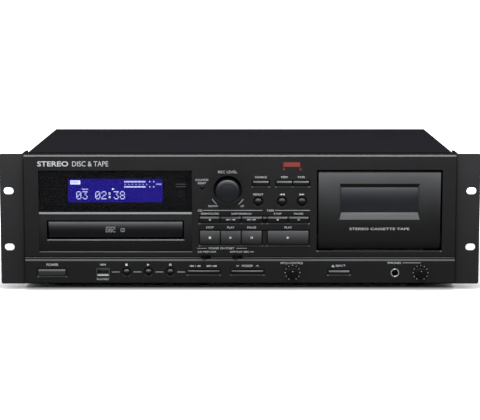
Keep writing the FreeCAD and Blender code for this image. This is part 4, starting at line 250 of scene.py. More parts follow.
def make_ramp(name, axis):
    """From 0 at the low place to 1 at the high place along one axis; a higher bend keeps it low for
    longer."""
    tree, given, result = effect(name, {"Low": 0, "High": 1, "Bend": 1}, ["Share"])
    place = along(tree, add(tree, "TexCoord").outputs["Object"], axis)
    share = ranged(tree, place, given["Low"], given["High"])
    feed(result, "Share", maths(tree, "POWER", share, given["Bend"]))
    return tree


def make_facing():
    """Masks for painted light and shade, by which way a surface looks: tilted back, level on top,
    downwards.
    """
    tree, given, result = effect("Facing", {"Low": 0.3, "High": 0.55, "Flat": 0.0},
                                 ["Painted highlight", "Level", "Painted underside"])
    rounded = along(tree, add(tree, "TexCoord").outputs["Normal"], "Z")
    true = add(tree, "NewGeometry").outputs["True Normal"]
    local = add(tree, "VectorTransform", {0: true}, vector_type="NORMAL",
                convert_from="WORLD", convert_to="OBJECT").outputs[0]
    change = maths(tree, "SUBTRACT", along(tree, local, "Z"), rounded)
    upward = maths(tree, "ADD", rounded, maths(tree, "MULTIPLY", change, given["Flat"]))
    level = ranged(tree, upward, 0.9, 0.98)
    painted_highlight = ranged(tree, upward, given["Low"], given["High"])
    # The highlight share marks painted highlight on faces that tilt back towards the lamps; the
    # downward share marks painted shade.
    feed(result, "Painted highlight", maths(tree, "SUBTRACT", painted_highlight, level))
    feed(result, "Level", level)
    feed(result, "Painted underside", ranged(tree, upward, -0.1, -0.35))
    return tree


EFFECTS = {}


def make_effects():
    # The Z ramp carries painted light, lighter towards the top, and a painted shadow band; the Y ramp
    # carries painted shade on set-back faces.
    EFFECTS.update(grain=make_grain(), brushing=make_brushing(), dust=make_dust(),
                   fade=make_ramp("Fade", "Z"), depth=make_ramp("Depth", "Y"), facing=make_facing())


# Finishes

def grey(value):
    return (value, value, value)


FINISH = {}
BLACK = grey(0.0015)
DUST = (0.45, 0.44, 0.42)
MICRON = 0.000001


def mixed(tree, share, first, second, **settings):
    node = add(tree, "Mix", {0: share}, data_type="RGBA", **settings)
    for index, value in ((6, first), (7, second)):
        feed(node, index, value if isinstance(value, bpy.types.NodeSocket) else (*value, 1))
    return node.outputs[2]


def placed(tree, effect_name, **values):
    node = add(tree, "Group", node_tree=EFFECTS[effect_name])
    for key, value in values.items():
        node.inputs[key.capitalize()].default_value = value
    return node.outputs


def finish(name, tint, roughness, texture="grain", scale=2500.0, relief=20, uneven=0.12, dust=0.0,
           fade=None, painted_depth_shade=None, painted_highlight=None, gloss=0.2, level=BLACK, painted_underside=BLACK, turn=(0.3, 0.55),
           upper=False, flat=0.0, painted_shadow_band=None, shine=0.0, **shader):
    """A material of one tint that varies a little over the surface. relief is the texture's height in
    thousandths of a millimetre. fade is (low, high, tint at the top, bend): painted light,
    lighter towards the top. painted_depth_shade is (place, tint): painted shade on faces behind that
    place. painted_highlight is a painted highlight tint on faces that tilt back towards the lamps, with
    their coat gloss, near the top only if upper is set; level and painted_underside are painted tints,
    mostly painted shade, of level tops and of downward faces; flat is 1 where faces meet at a small
    angle. painted_shadow_band is (height, tint): a painted shadow band above that height. shine is the
    specular level, and the other settings are the shader's own."""
    material = bpy.data.materials.new(name)
    material.use_nodes = True
    tree = material.node_tree
    bsdf = tree.nodes["Principled BSDF"]
    bsdf.inputs["Specular IOR Level"].default_value = shine
    for key, value in shader.items():
        bsdf.inputs[key.replace("_", " ").title().replace("Ior", "IOR")].default_value = value
    surface = placed(tree, texture, scale=scale)
    base = tint
    # Painted light: the surface is lighter towards the top.
    if fade:
        low, high, top, bend = fade
        rise = placed(tree, "fade", low=low * MM, high=high * MM, bend=bend)[0]
        base = mixed(tree, rise, base, top)
    # Painted shade on faces set back behind a place along Y.
    if painted_depth_shade:
        place, darker = painted_depth_shade
        depth = placed(tree, "depth", low=place * MM, high=(place + 0.2) * MM)[0]
        base = mixed(tree, depth, base, darker)
    # Painted highlight on faces that tilt back, painted tints on level tops and downward faces; the
    # coat gives the tilted faces real gloss.
    if painted_highlight:
        facing = placed(tree, "facing", low=turn[0], high=turn[1], flat=flat)
        highlight_share = facing["Painted highlight"]
        if upper:
            highlight_share = maths(tree, "MULTIPLY", highlight_share, rise)
            if painted_depth_shade:
                highlight_share = maths(tree, "MULTIPLY", highlight_share, maths(tree, "SUBTRACT", 1.0, depth))
        for share, other in ((facing["Painted underside"], painted_underside), (facing["Level"], level), (highlight_share, painted_highlight)):
            base = mixed(tree, share, base, other)
        feed(bsdf, "Coat Weight", maths(tree, "MULTIPLY", highlight_share, gloss))
        bsdf.inputs["Coat Roughness"].default_value = 0.22
    # Painted shadow: a dark band above a height.
    if painted_shadow_band:
        height, other = painted_shadow_band
        above = placed(tree, "fade", low=height * MM, high=(height + 0.15) * MM, bend=1.0)[0]
        base = mixed(tree, above, base, other)
    swing = ranged(tree, surface["Variation"], 0, 1, 1 - uneven, 1 + uneven)
    paler = mixed(tree, 1.0, base, swing, blend_type="MULTIPLY")
    film = placed(tree, "dust", amount=dust)["Mask"]
    feed(bsdf, "Base Color", mixed(tree, film, paler, DUST))
    rough = ranged(tree, surface["Variation"], 0, 1, roughness - 0.05, roughness + 0.07)
    feed(bsdf, "Roughness", rough)
    bump = add(tree, "Bump", {"Height": surface["Height"], "Distance": relief * MICRON,
                              "Strength": 0.6})
    feed(bsdf, "Normal", bump.outputs[0])
    FINISH[name] = material
    return material


def glowing(name, tint, strength):
    material = finish(name, tint, 0.35, relief=4)
    bsdf = material.node_tree.nodes["Principled BSDF"]
    bsdf.inputs["Emission Color"].default_value = (*tint, 1)
    bsdf.inputs["Emission Strength"].default_value = strength


def make_finishes():
    tone = bpy.context.scene.deck_colours
    door_low, door_high = in_mm(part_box("cassette_door"))
    knob_low, knob_high = in_mm(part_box("rec_level_knob"))
    # Painted light on the panel: lighter towards the top, a painted highlight on tilted faces, painted
    # shade on recessed faces; level tops take the cover's colour.
    finish("panel_moulding", tone.panel, 0.32, relief=6, flat=1.0,
           painted_highlight=tone.edge, level=tone.cover,
           fade=(PANEL_LOW.z, PANEL_HIGH.z, tone.panel_top_painted_light, 1.45),
           painted_depth_shade=(FACE + 0.4, (0.0135, 0.0135, 0.014)))
    # The recessed disc field: painted light, lighter towards the top, a painted highlight on tilted
    # faces, painted shade on level tops and downward faces.
    finish("field_painted_shade", (0.0115, 0.0115, 0.012), 0.32, relief=6, flat=1.0,
           painted_highlight=tone.edge, fade=(MIDDLE - 32, MIDDLE + 5, (0.031, 0.031, 0.032), 1.6))
    finish("case_paint", tone.cover, 0.5, scale=1400, dust=0.01)
    # Painted light on the ears: lighter towards the top, a painted highlight on tilted faces, painted
    # shade on downward faces.
    finish("ear_paint", tone.ear, 0.45, scale=1600, painted_highlight=tone.edge, level=tone.cover,
           fade=(PANEL_LOW.z, PANEL_HIGH.z, (0.046, 0.046, 0.047), 1.5))
    # Painted light on the large keys: lighter towards the top, a painted highlight on tilted faces,
    # painted shade on level tops and downward faces.
    finish("key_moulding", (0.018, 0.018, 0.0183), 0.34, relief=10,
           painted_highlight=(0.17, 0.17, 0.172), painted_underside=grey(0.012),
           fade=(*heights(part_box("disc_play_button")), (0.135, 0.136, 0.138), 1.75))
    # Painted highlight on tilted faces of the small keys, painted shade on level tops, a painted tint
    # on downward faces.
    finish("small_key_moulding", tone.key, 0.34, relief=10, painted_highlight=(0.12, 0.12, 0.122),
           gloss=0.3, painted_underside=grey(0.014))
    # Painted light on the power key: lighter towards the top, a painted highlight on tilted faces,
    # painted tints on level tops and downward faces.
    finish("power_moulding", (0.030, 0.030, 0.031), 0.34, relief=10,
           painted_highlight=(0.11, 0.11, 0.112), painted_underside=(0.034, 0.034, 0.035),
           fade=(*heights(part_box("power_button")), (0.07, 0.07, 0.072), 1.5))
    # Painted highlight on the upper half of the round buttons' domes, painted shade on level tops and
    # downward faces.
    finish("dot_moulding", tone.key, 0.34, relief=10, painted_highlight=(0.15, 0.15, 0.153),
           gloss=0.25, turn=(0.1, 0.62), painted_underside=grey(0.006))
    # Painted light on the level knob: lighter towards the top, a painted highlight on tilted faces near
    # the top, painted shade on faces set back from the front, on level tops and on downward faces.
    finish("knob_moulding", tone.knob, 0.25, relief=4, painted_highlight=(0.12, 0.125, 0.13),
           gloss=0.25, painted_underside=(0.015, 0.0155, 0.017), upper=True,
           fade=(knob_low.z, knob_high.z, (0.105, 0.108, 0.117), 4.3),
           painted_depth_shade=(knob_low.y + 2.3, grey(0.004)))
    # A faint painted highlight on tilted faces of the small knobs, painted shade on level tops and
    # downward faces.
    finish("small_knob_moulding", (0.008, 0.008, 0.0085), 0.3, relief=4,
           painted_highlight=grey(0.02), gloss=0.05)
    # Painted light on the tray front: lighter towards the top, with a painted highlight on tilted
    # faces.
    finish("tray_moulding", (0.0092, 0.0092, 0.0108), 0.28, relief=4,
           painted_highlight=(0.25, 0.252, 0.26), gloss=0.3,
           fade=(*heights(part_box("tray_front")), (0.24, 0.244, 0.256), 5.8))
    # Painted light on the door: lighter towards the top, a painted highlight on tilted faces, painted
    # shade on level tops and downward faces, and a painted shadow band along its top edge.
    finish("door_moulding", (0.0138, 0.0138, 0.014), 0.3, relief=6, flat=1.0,
           painted_highlight=(0.135, 0.137, 0.14), gloss=0.3, turn=(0.04, 0.16), painted_underside=grey(0.011),
           fade=(door_low.z, door_high.z, (0.135, 0.137, 0.142), 3.2),
           painted_shadow_band=(door_high.z - 0.95, grey(0.006)))
    for name, tint, roughness, relief, shine in (
            ("mechanism_moulding", (0.012, 0.012, 0.013), 0.5, 10, 0.1),
            ("socket_moulding", grey(0.02), 0.45, 10, 0.5),
            ("white_moulding", (0.62, 0.62, 0.6), 0.4, 6, 0.5),
            ("red_moulding", (0.45, 0.02, 0.015), 0.35, 6, 0.5),
            # A painted highlight for the display's sill and painted shade for the door's sill.
            ("sill_painted_highlight", (0.285, 0.285, 0.28), 0.4, 4, 0.1),
            ("painted_shade_trim", grey(0.032), 0.4, 4, 0),
            ("white_print", tone.print, 0.6, 3, 0.1),
            ("grey_print", (0.24, 0.245, 0.255), 0.6, 3, 0.1),
            ("pane_print", (0.86, 0.86, 0.9), 0.6, 3, 0.1),
            # Grey tint for the painted highlight below the memory port.
            ("painted_lip_highlight", (0.085, 0.087, 0.09), 0.6, 3, 0.05),
            ("red_print", tone.record, 0.5, 3, 0.1),
            ("mask_print", (0.002, 0.002, 0.0025), 0.6, 3, 0.05),
            ("sensor_lens", (0.05, 0.055, 0.075), 0.12, 2, 0.3)):
        finish(name, tint, roughness, relief=relief, shine=shine)
    for name, tint, roughness, scale, relief, settings in (
            ("plated_steel", tone.steel, 0.35, 900, 6, {"metallic": 1.0, "dust": 0.02}),
            ("dark_plating", (0.045, 0.047, 0.046), 0.3, 600, 2, {"metallic": 1.0}),
            ("ring_plating", (0.26, 0.265, 0.27), 0.25, 600, 2, {"metallic": 1.0}),
            ("lamination_lacquer", (0.05, 0.05, 0.055), 0.4, 1800, 30, {})):
        finish(name, tint, roughness, texture="brushing", scale=scale, relief=relief, shine=0.5,
               **settings)
    finish("foot_rubber", grey(0.012), 0.8, scale=900, relief=30, shine=0.1)
    finish("roller_rubber", grey(0.02), 0.75, scale=1500, relief=10, shine=0.5)
    finish("black_steel", (0.012, 0.012, 0.013), 0.45, scale=1200, relief=10, shine=0.15)
    finish("board_lacquer", tone.board, 0.35, scale=300, uneven=0.3, shine=0.5)
    glowing("lit_screen", tone.screen, 2.9)
    glowing("lit_characters", tone.glyph, 7.2)
    glowing("red_lamp", (0.30, 0.035, 0.026), 0.08)
    finish("smoked_pane", (0.0135, 0.0135, 0.0148), 0.2, scale=40, relief=0.5, uneven=0.02,
           alpha=0.55)
    # Painted light on the door window: lighter towards the top.
    finish("smoked_window", (0.029, 0.031, 0.037), 0.06, scale=40, relief=2, uneven=0.02,
           shine=0.1, ior=1.1, transmission_weight=0.35,
           fade=(*heights(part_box("door_window")), (0.255, 0.262, 0.285), 4.6))


# Every solid that isn't named here is a small key.
NODES_OF_FINISH = {
    "panel_moulding": ["front_panel"],
    "case_paint": ["base_chassis", "top_cover", "rear_panel"],
    "ear_paint": ["left_rack_ear", "right_rack_ear"],
    "foot_rubber": ["rubber_feet"],
    "smoked_pane": ["display_window"],
    "smoked_window": ["door_window"],
    "door_moulding": ["cassette_door"],
    "tray_moulding": ["tray_front"],
    "key_moulding": ["disc_stop_button", "disc_play_button", "disc_pause_button", "tape_play_button"],
    "power_moulding": ["power_button"],
    "dot_moulding": DOTS,
    "knob_moulding": ["rec_level_knob"],
    "small_knob_moulding": ["pitch_knob", "phones_knob"],
    "mechanism_moulding": ["disc_tray", "loader_frame", "disc_clamper", "turntable", "supply_hub",
                           "takeup_hub", "pickup_sled"],
    "white_moulding": ["loading_gear"],
    "socket_moulding": ["headphone_jack", "line_socket_block", "power_inlet"],
    "black_steel": ["screen_module", "tape_deck_chassis"],
    "plated_steel": ["traverse_frame", "capstan_flywheel", "head_block"],
    "dark_plating": ["memory_port"],
    "mask_print": ["timer_switch", "noise_switch"],
    "roller_rubber": ["pinch_roller"],
    "board_lacquer": ["front_board", "main_board"],
    "lamination_lacquer": ["power_transformer"],
}


def soften(obj, width):
    """Rounds the sharp edges of a carried-over solid without moving its own points."""
    obj.data.shade_smooth()
    weld = obj.modifiers.new("Weld", "WELD")
    weld.merge_threshold = 0.002 * MM
    flat = obj.modifiers.new("Flat", "DECIMATE")
    flat.decimate_type = "DISSOLVE"
    flat.angle_limit = math.radians(1.5)
    bevel = obj.modifiers.new("Edges", "BEVEL")
    bevel.width = width * MM
    bevel.segments = 2
    bevel.limit_method = "ANGLE"
    bevel.angle_limit = math.radians(28)
    bevel.harden_normals = True


class FinishFrame(bpy.types.Operator):
    """Give every carried-over solid its finish, and soft edges to the keys, rockers, knobs, tray front
    and door
    """
    bl_idname = "deck.finish_frame"
    bl_label = "Finish the solids"

    def execute(self, context):
        make_effects()
        make_finishes()
        finish_of = {node: name for name, nodes in NODES_OF_FINISH.items() for node in nodes}
        for node, obj in frame["nodes"].items():
            obj.data.materials.clear()
            obj.data.materials.append(FINISH[finish_of.get(node, "small_key_moulding")])
        # The recessed disc field gets its own material with painted shade, darker towards the bottom.
        panel = frame["nodes"]["front_panel"].data
        panel.materials.append(FINISH["field_painted_shade"])
        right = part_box("display_window")[1].x / MM + 6
        for face in panel.polygons:
            x, y, z = face.center / MM
            if x < right and -35 < z - MIDDLE < 8 and 0.3 < y - FACE < 2:
                face.material_index = 1
        for node in KEYS + ROCKERS + KNOBS + ["tray_front", "cassette_door"]:
            soften(frame["nodes"][node], measure("edge"))
        return {"FINISHED"}


# Meshes of the small pieces

def piece(name, bm, finish_name, body="root"):
    """A new piece of the object that rides on one of the frame's bodies."""
    bmesh.ops.recalc_face_normals(bm, faces=bm.faces)
    bmesh.ops.scale(bm, vec=(MM, MM, MM), verts=bm.verts)
    mesh = bpy.data.meshes.new(name)
    bm.to_mesh(mesh)
    bm.free()
    mesh.materials.append(FINISH[finish_name])
    obj = bpy.data.objects.new(name, mesh)
    bpy.context.scene.collection.objects.link(obj)
    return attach(obj, body)


def skin(bm, first, second):
    """Faces between two loops of corners."""
    for index in range(len(first)):
        after = (index + 1) % len(first)
        bm.faces.new((first[index], first[after], second[after], second[index]))


def loft(bm, first, second):
    """A closed solid between two outlines."""
    ends = [[bm.verts.new(point) for point in outline] for outline in (first, second)]
    bm.faces.new(ends[0])
    bm.faces.new(ends[1][::-1])
    skin(bm, *ends)


def prism(bm, points, low, high):
    """A closed solid with the outline points in X and Z, from low to high along Y."""
    loft(bm, *([(x, y, z) for x, z in points] for y in (low, high)))


def turned(bm, centre, profile, steps=48):
    """A solid turned from (radius, place along the axis) points, which begin and end on the axis or
    else close a ring."""
    rings = []
    for radius, place in profile:
        ring = circle(*centre, radius, steps if radius else 1)
        rings.append([bm.verts.new((x, place, z)) for x, z in ring])
    closed = len(rings[0]) > 1
    for index in range(len(rings) if closed else len(rings) - 1):
        first, second = rings[index], rings[(index + 1) % len(rings)]
        for step in range(steps):
            after = (step + 1) % steps
            corners = [first[step % len(first)], first[after % len(first)],
                       second[after % len(second)], second[step % len(second)]]
            bm.faces.new(list(dict.fromkeys(corners)))


def circle(x, z, radius, steps):
    turn = 2 * math.pi / steps
    return [(x + radius * math.cos(turn * k), z + radius * math.sin(turn * k)) for k in range(steps)]


def box_points(left, right, low, high):
    return [(left, low), (right, low), (right, high), (left, high)]


def around(x, z, width, height):
    """The corners of a box with its middle at x, z."""
    return box_points(x - width / 2, x + width / 2, z - height / 2, z + height / 2)


# Print

class Ink:
    """Print for one face of one solid: flat shapes in X and Z, laid on the face afterwards."""

    def __init__(self, node, side=FRONT_SIDE):
        self.node, self.side = node, side
        self.bm = bmesh.new()

    def shape(self, points):
        prism(self.bm, points, -0.5, 0.5)

    def stroke(self, start, stop, width=None):
        first, last = Vector(start), Vector(stop)
        along = last - first
        across = Vector((-along.y, along.x)).normalized() * (width or measure("line")) / 2
        self.shape([first - across, last - across, last + across, first + across])

    def rule(self, left, right, z, width=None):
        self.stroke((left, z), (right, z), width)

    def band(self, centre, radius, start, stop, width, steps=12):
        """Part of a ring between two angles in degrees, counted from the right."""
        angles = [math.radians(start + (stop - start) * k / steps) for k in range(steps + 1)]
        inner, outer = [[(centre.x + reach * math.cos(a), centre.z + reach * math.sin(a))
                         for a in angles] for reach in (radius - width / 2, radius + width / 2)]
        self.shape(outer + inner[::-1])

    def word(self, text, x, z, width=None, height=None, bold=0.0):
        """A word with its middle at x, z; width stretches it to that length."""
        curve = bpy.data.curves.new("word", "FONT")
        curve.body = text
        curve.resolution_u = 3
        curve.extrude = 0.5
        curve.offset = bold
        carrier = bpy.data.objects.new("word", curve)
        mesh = bpy.data.meshes.new_from_object(carrier)
        across = [v.co.x for v in mesh.vertices]
        upward = [v.co.y for v in mesh.vertices]
        rise = (height or measure("label")) / (max(upward) - min(upward))
        spread = width / (max(across) - min(across)) if width else 1.12 * rise
        spread *= 1 if self.side == FRONT_SIDE else -1
        middle = Vector(((max(across) + min(across)) / 2, (max(upward) + min(upward)) / 2))
        for vertex in mesh.vertices:
            right, up, out = vertex.co
            vertex.co = ((right - middle.x) * spread + x, out, (up - middle.y) * rise + z)
        self.bm.from_mesh(mesh)
        bpy.data.meshes.remove(mesh)
        bpy.data.objects.remove(carrier)
        bpy.data.curves.remove(curve)

    def level(self, name, finish_name, front, back):
        """Turns the print into a piece between two places along Y."""
        for vertex in self.bm.verts:
            vertex.co.y = front if vertex.co.y < 0 else back
        piece(name, self.bm, finish_name)

    def lay(self, name, finish_name, plane):
        """Turns the print into a piece on the node's surface; plane is used past its edges."""
        bmesh.ops.remove_doubles(self.bm, verts=self.bm.verts, dist=0.001)
        mesh = frame["nodes"][self.node].data
        tree = BVHTree.FromPolygons([v.co / MM for v in mesh.vertices],
                                    [tuple(p.vertices) for p in mesh.polygons])
        outside, reach = 1000, 4
        for vertex in self.bm.verts:
            start = Vector((vertex.co.x, self.side * outside, vertex.co.z))
            hit = tree.ray_cast(start, Vector((0, -self.side, 0)))[0]
            surface = hit.y if hit and abs(hit.y - plane) < reach else plane
            vertex.co.y = surface + (self.side * measure("ink") if vertex.co.y < 0 else 0)
        piece(name, self.bm, finish_name, body_of(frame["nodes"][self.node])[0])


def triangle(ink, x, z, width, height, direction=1):
    """A triangle that points right (1) or left (-1)."""
    half = direction * width / 2
    ink.shape([(x - half, z - height / 2), (x + half, z), (x - half, z + height / 2)])


def bars(ink, x, z, height, gap):
    for side in (-1, 1):
        ink.shape(around(x + side * gap, z, gap, height))


def skip_mark(ink, x, z, size, direction):
    """Two triangles and a bar."""
    for step in (-0.5, 0.5):
        triangle(ink, x + step * size * 0.9, z, size * 0.9, size, direction)
    ink.shape(around(x + direction * size, z, size / 6, size))


def skip_pair(ink, x, z, size, direction):
    """The skip mark and the search mark beside it."""
    skip_mark(ink, x - size * 1.9, z, size, direction)
    ink.stroke((x + size * 0.1, z - size * 0.5), (x - size * 0.1, z + size * 0.5), size * 0.15)
    for step in (-0.5, 0.5):
        triangle(ink, x + size * (1.7 + step * 0.9), z, size * 0.9, size, direction)


class PrintPanel(bpy.types.Operator):
    """Letter the upper part of the front panel"""
    bl_idname = "deck.print_panel"
    bl_label = "Panel print"

    def execute(self, context):
        ink = Ink("front_panel")
        ink.word("STEREO", -187, MIDDLE + 56.3, 31, measure("title"), bold=0.02)
        ink.word("DISC & TAPE", -149.6, MIDDLE + 56.3, 36, measure("title"))
        knob = middle_of("rec_level_knob")
        ink.word("REC LEVEL", knob.x, knob.z + 18.4, 19, 2.6)
        for side, text in ((-1, "DOWN"), (1, "UP")):
            ink.word(text, knob.x + side * 14.6, knob.z - 16, height=1.8)
            middle = 270 + side * 49
            ink.band(knob, 17.8, middle - 11, middle + 11, 0.4)
        reset = middle_of("counter_reset_button")
        ink.word("COUNTER", reset.x, reset.z + 7.3, 13)
        ink.word("RESET", reset.x, reset.z + 4.1)
        for key, text in (("source", "SOURCE"), ("record_memory", "MEM"), ("record_tape", "TAPE")):
            ink.word(text, middle_of(key + "_button").x, MIDDLE + 42.9)
        repeat = middle_of("repeat_button")
        ink.word("REPEAT", repeat.x, repeat.z + 7.4, 10)
        for node, direction in (("rewind_button", -1), ("fast_forward_button", 1)):
            button = middle_of(node)
            for step in (-1, 1):
                triangle(ink, button.x + step * 1.25, button.z + 7.4, 2.5, 2.2, direction)
        self.print_rows(ink)
        self.print_switches(ink)
        ink.lay("panel_print", "white_print", FACE)

        red = Ink("front_panel")
        x, z = 51.7, MIDDLE + 55.6
        red.shape(around(x, z, 16.6, 4.4))
        for side in (-1, 1):
            red.stroke((x + side * 8.1, z - 2), (x + side * 8.1, z - 3.9))
        red.lay("record_field", "red_print", FACE)
        return {"FINISHED"}

    def print_rows(self, ink):
        """Lines and labels over the disc and tape keys."""
        for text, x in (("CD", -40), ("TAPE", 30.4)):
            ink.word(text, x, MIDDLE + 9.2)
        for left, right in ((-36.9, 22.4), (35, 70.2)):
            ink.rule(left, right, MIDDLE + 9.4)
        for keys, text, width in ((["open_close"], "OPEN/CLOSE", 18),
                                  (["skip_back", "skip_forward"], "SKIP/SEARCH", 20),
                                  (["tape_stop"], "STOP", 7.6), (["tape_pause"], "PAUSE", 9)):
            x = sum(middle_of(key + "_button").x for key in keys) / len(keys)
            ink.word(text, x, MIDDLE + 6, width, measure("label") * 0.9)
        for key, text in (("disc_stop", "STOP"), ("disc_play", "PLAY"), ("disc_pause", "PAUSE"),
                          ("tape_play", "PLAY")):
            ink.word(text, middle_of(key + "_button").x, MIDDLE - 7.9)

    def print_switches(self, ink):
        """The name of the two slide switches and their settings."""
        z = MIDDLE - 29.1
        ink.word("POWER ON START", -18.5, z, 25.6)
        for left, right in ((-43.2, -33.2), (-3.7, 6.9)):
            ink.rule(left, right, z, 0.3)
        for x, text, width in ((-40.4, "CD", 4.4), (-34, "MEM", 6), (-27.2, "TAPE", 6.4),
                               (-7.4, "OFF", 5.6), (-0.6, "PLAY", 6.4), (6.6, "REC", 5.4)):
            ink.word(text, x, z - 3.6, width, 1.7)
        ink.rule(10.4, 13.8, z - 3.6, 0.5)


class PrintBand(bpy.types.Operator):
    """Letter the lower band of the front panel"""
    bl_idname = "deck.print_band"
    bl_label = "Band print"

    def execute(self, context):
        ink = Ink("front_panel")
        top = MIDDLE - 45.6
        ink.word("POWER", middle_of("power_button").x + 0.6, top, 11.8, measure("large_label"))
        port = middle_of("memory_port")
        ink.word("MEM", port.x, top, 5.6)
        ink.word("PLAY/REC", port.x, MIDDLE - 60.4, 12, 1.6)
        self.print_memory_keys(ink, port, top)
        skip = middle_of("skip_rocker")
        for direction in (-1, 1):
            skip_pair(ink, skip.x + direction * 8.4, top - 1.3, 1.9, direction)
        folder, level = middle_of("folder_rocker"), top - 1.1
        ink.word("FOLDER", folder.x, level, 11)
        for direction in (-1, 1):
            x, tip = folder.x + direction * 10, 0.7 * direction
            for reach in (-1.3, 1.3):
                ink.stroke((x + reach, level - tip), (x, level + tip), 0.4)
        eject = middle_of("eject_button")
        ink.word("EJECT", eject.x + 1.6, top - 1.2, 9.8, measure("label") * 1.1)
        ink.shape([(eject.x - 7.6, top - 2), (eject.x - 5, top - 2), (eject.x - 6.3, top)])
        ink.rule(eject.x - 7.2, eject.x - 4.6, top - 2.1, 0.5)
        pitch = middle_of("pitch_knob")
        ink.word("PITCH CONTROL", pitch.x - 0.6, MIDDLE - 43.9, 22.5)
        jack, phones = middle_of("headphone_jack"), middle_of("phones_knob")
        ink.word("PHONES", jack.x - 0.6, MIDDLE - 43.7, 13.2)
        ink.rule(jack.x + 7.6, phones.x, MIDDLE - 43.7, 0.35)
        dots = 11
        for knob in (pitch, phones):
            for index in range(dots):
                angle = math.radians(-60 + 300 * index / (dots - 1))
                x, z = knob.x + 7.4 * math.cos(angle), knob.z + 7.4 * math.sin(angle)
                ink.shape(circle(x, z, 0.4, 12))
        ink.lay("band_print", "white_print", BAND)
        return {"FINISHED"}

    def print_memory_keys(self, ink, port, top):
        """The symbols of the three small keys and the lines between them."""
        marks = [middle_of("memory_%s_button" % key) for key in ("stop", "play", "pause")]
        ink.shape(around(marks[0].x, top, 2.2, 2.2))
        triangle(ink, marks[1].x, top, 2.4, 2.4)
        bars(ink, marks[2].x, top, 2.2, 0.7)
        starts = [port.x + 9] + [mark.x + 7 for mark in marks]
        stops = [mark.x - 7 for mark in marks] + [marks[2].x + 15]
        for left, right in zip(starts, stops):
            ink.rule(left, right, marks[0].z, 0.35)


class PrintKeys(bpy.types.Operator):
    """Print the transport symbols on the keys"""
    bl_idname = "deck.print_keys"
    bl_label = "Key symbols"

    def execute(self, context):
        for name, symbol in (("disc_stop", self.stop), ("disc_play", self.play),
                             ("disc_pause", self.pause), ("tape_play", self.play),
                             ("open_close", self.eject), ("skip_back", self.back),
                             ("skip_forward", self.forward), ("tape_stop", self.stop),
                             ("tape_pause", self.pause)):
            node = name + "_button"
            ink = Ink(node)
            key = middle_of(node)
            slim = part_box(node)[1].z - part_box(node)[0].z < 10 * MM
            symbol(ink, key.x, key.z, 1.6 if slim else 2.2)
            ink.lay(name + "_symbol", "white_print", FACE - 1.6)
        return {"FINISHED"}

    def stop(self, ink, x, z, size):
        ink.shape(around(x, z, size, size))

    def play(self, ink, x, z, size):
        triangle(ink, x, z, size * 1.15, size * 1.1)

    def pause(self, ink, x, z, size):
        bars(ink, x, z, size, size * 0.3)

    def eject(self, ink, x, z, size):
        left, right = x - size * 0.7, x + size * 0.7
        ink.shape([(left, z - size * 0.1), (right, z - size * 0.1), (x, z + size * 0.6)])
        ink.rule(left, right, z - size * 0.4, size * 0.2)

    def back(self, ink, x, z, size):
        skip_pair(ink, x, z, size, -1)

    def forward(self, ink, x, z, size):
        skip_pair(ink, x, z, size, 1)


class DressDoor(bpy.types.Operator):
    """Print the door and the tray front; paint a highlight on the display's sill and shade on the
    door's sill
    """
    bl_idname = "deck.dress_door"
    bl_label = "Door and tray"

    def execute(self, context):
        ink = Ink("cassette_door")
        ink.word("STEREO CASSETTE TAPE", middle_of("door_window").x, MIDDLE - 9.4, 60, 2.3)
        ink.lay("door_print", "white_print", FACE)
        tray = middle_of("tray_front")
        ink = Ink("tray_front")
        ink.word("DISC", tray.x - 4.9, tray.z - 0.6, 9.6, 4, bold=0.02)
        ink.rule(tray.x - 9.7, tray.x - 0.1, tray.z + 2.6, 0.8)
        ink.word("CD", tray.x + 7.2, tray.z - 0.3, 4.6, 4, bold=0.03)
        ink.lay("tray_print", "grey_print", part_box("tray_front")[0].y / MM)
        pane_low, pane_high = in_mm(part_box("display_window"))
        # Thin pieces on the sills: a painted highlight below the display window and painted shade below
        # the door.
        for name, left, right, low, high, finish_name in (
                ("display_sill", pane_low.x, pane_high.x, pane_low.z - 2.1, pane_low.z - 0.2,
                 "sill_painted_highlight"),
                ("door_sill_painted_shade", 78.5, 201.2, MIDDLE - 32.4, MIDDLE - 31.35, "painted_shade_trim")):
            profile = [(-0.03, low), (0.45, high), (0.6, high), (0.1, low)]
            bm = bmesh.new()
            loft(bm, *([(x, FACE + y, z) for y, z in profile] for x in (left, right)))
            piece(name, bm, finish_name)
        return {"FINISHED"}


# Screen

DOT_ROWS = {
    "0": "01110 10001 10011 10101 11001 10001 01110",
    "2": "01110 10001 00001 00110 01000 10000 11111",
    "3": "11111 00010 00100 00010 00001 10001 01110",
    "8": "01110 10001 10001 01110 10001 10001 01110",
    ":": "00000 01100 01100 00000 01100 01100 00000",
}


def dotted(ink, text, left, top, pitch):
    """Characters of five by seven dots from a left and top place."""
    for place, letter in enumerate(text):
        for row, dots in enumerate(DOT_ROWS[letter].split()):
            for column, dot in enumerate(dots):
                if dot == "1":
                    x = left + (place * 6 + column) * pitch
                    z = top - row * pitch * 1.15
                    ink.shape(box_points(x, x + pitch * 0.68, z - pitch * 0.84, z))


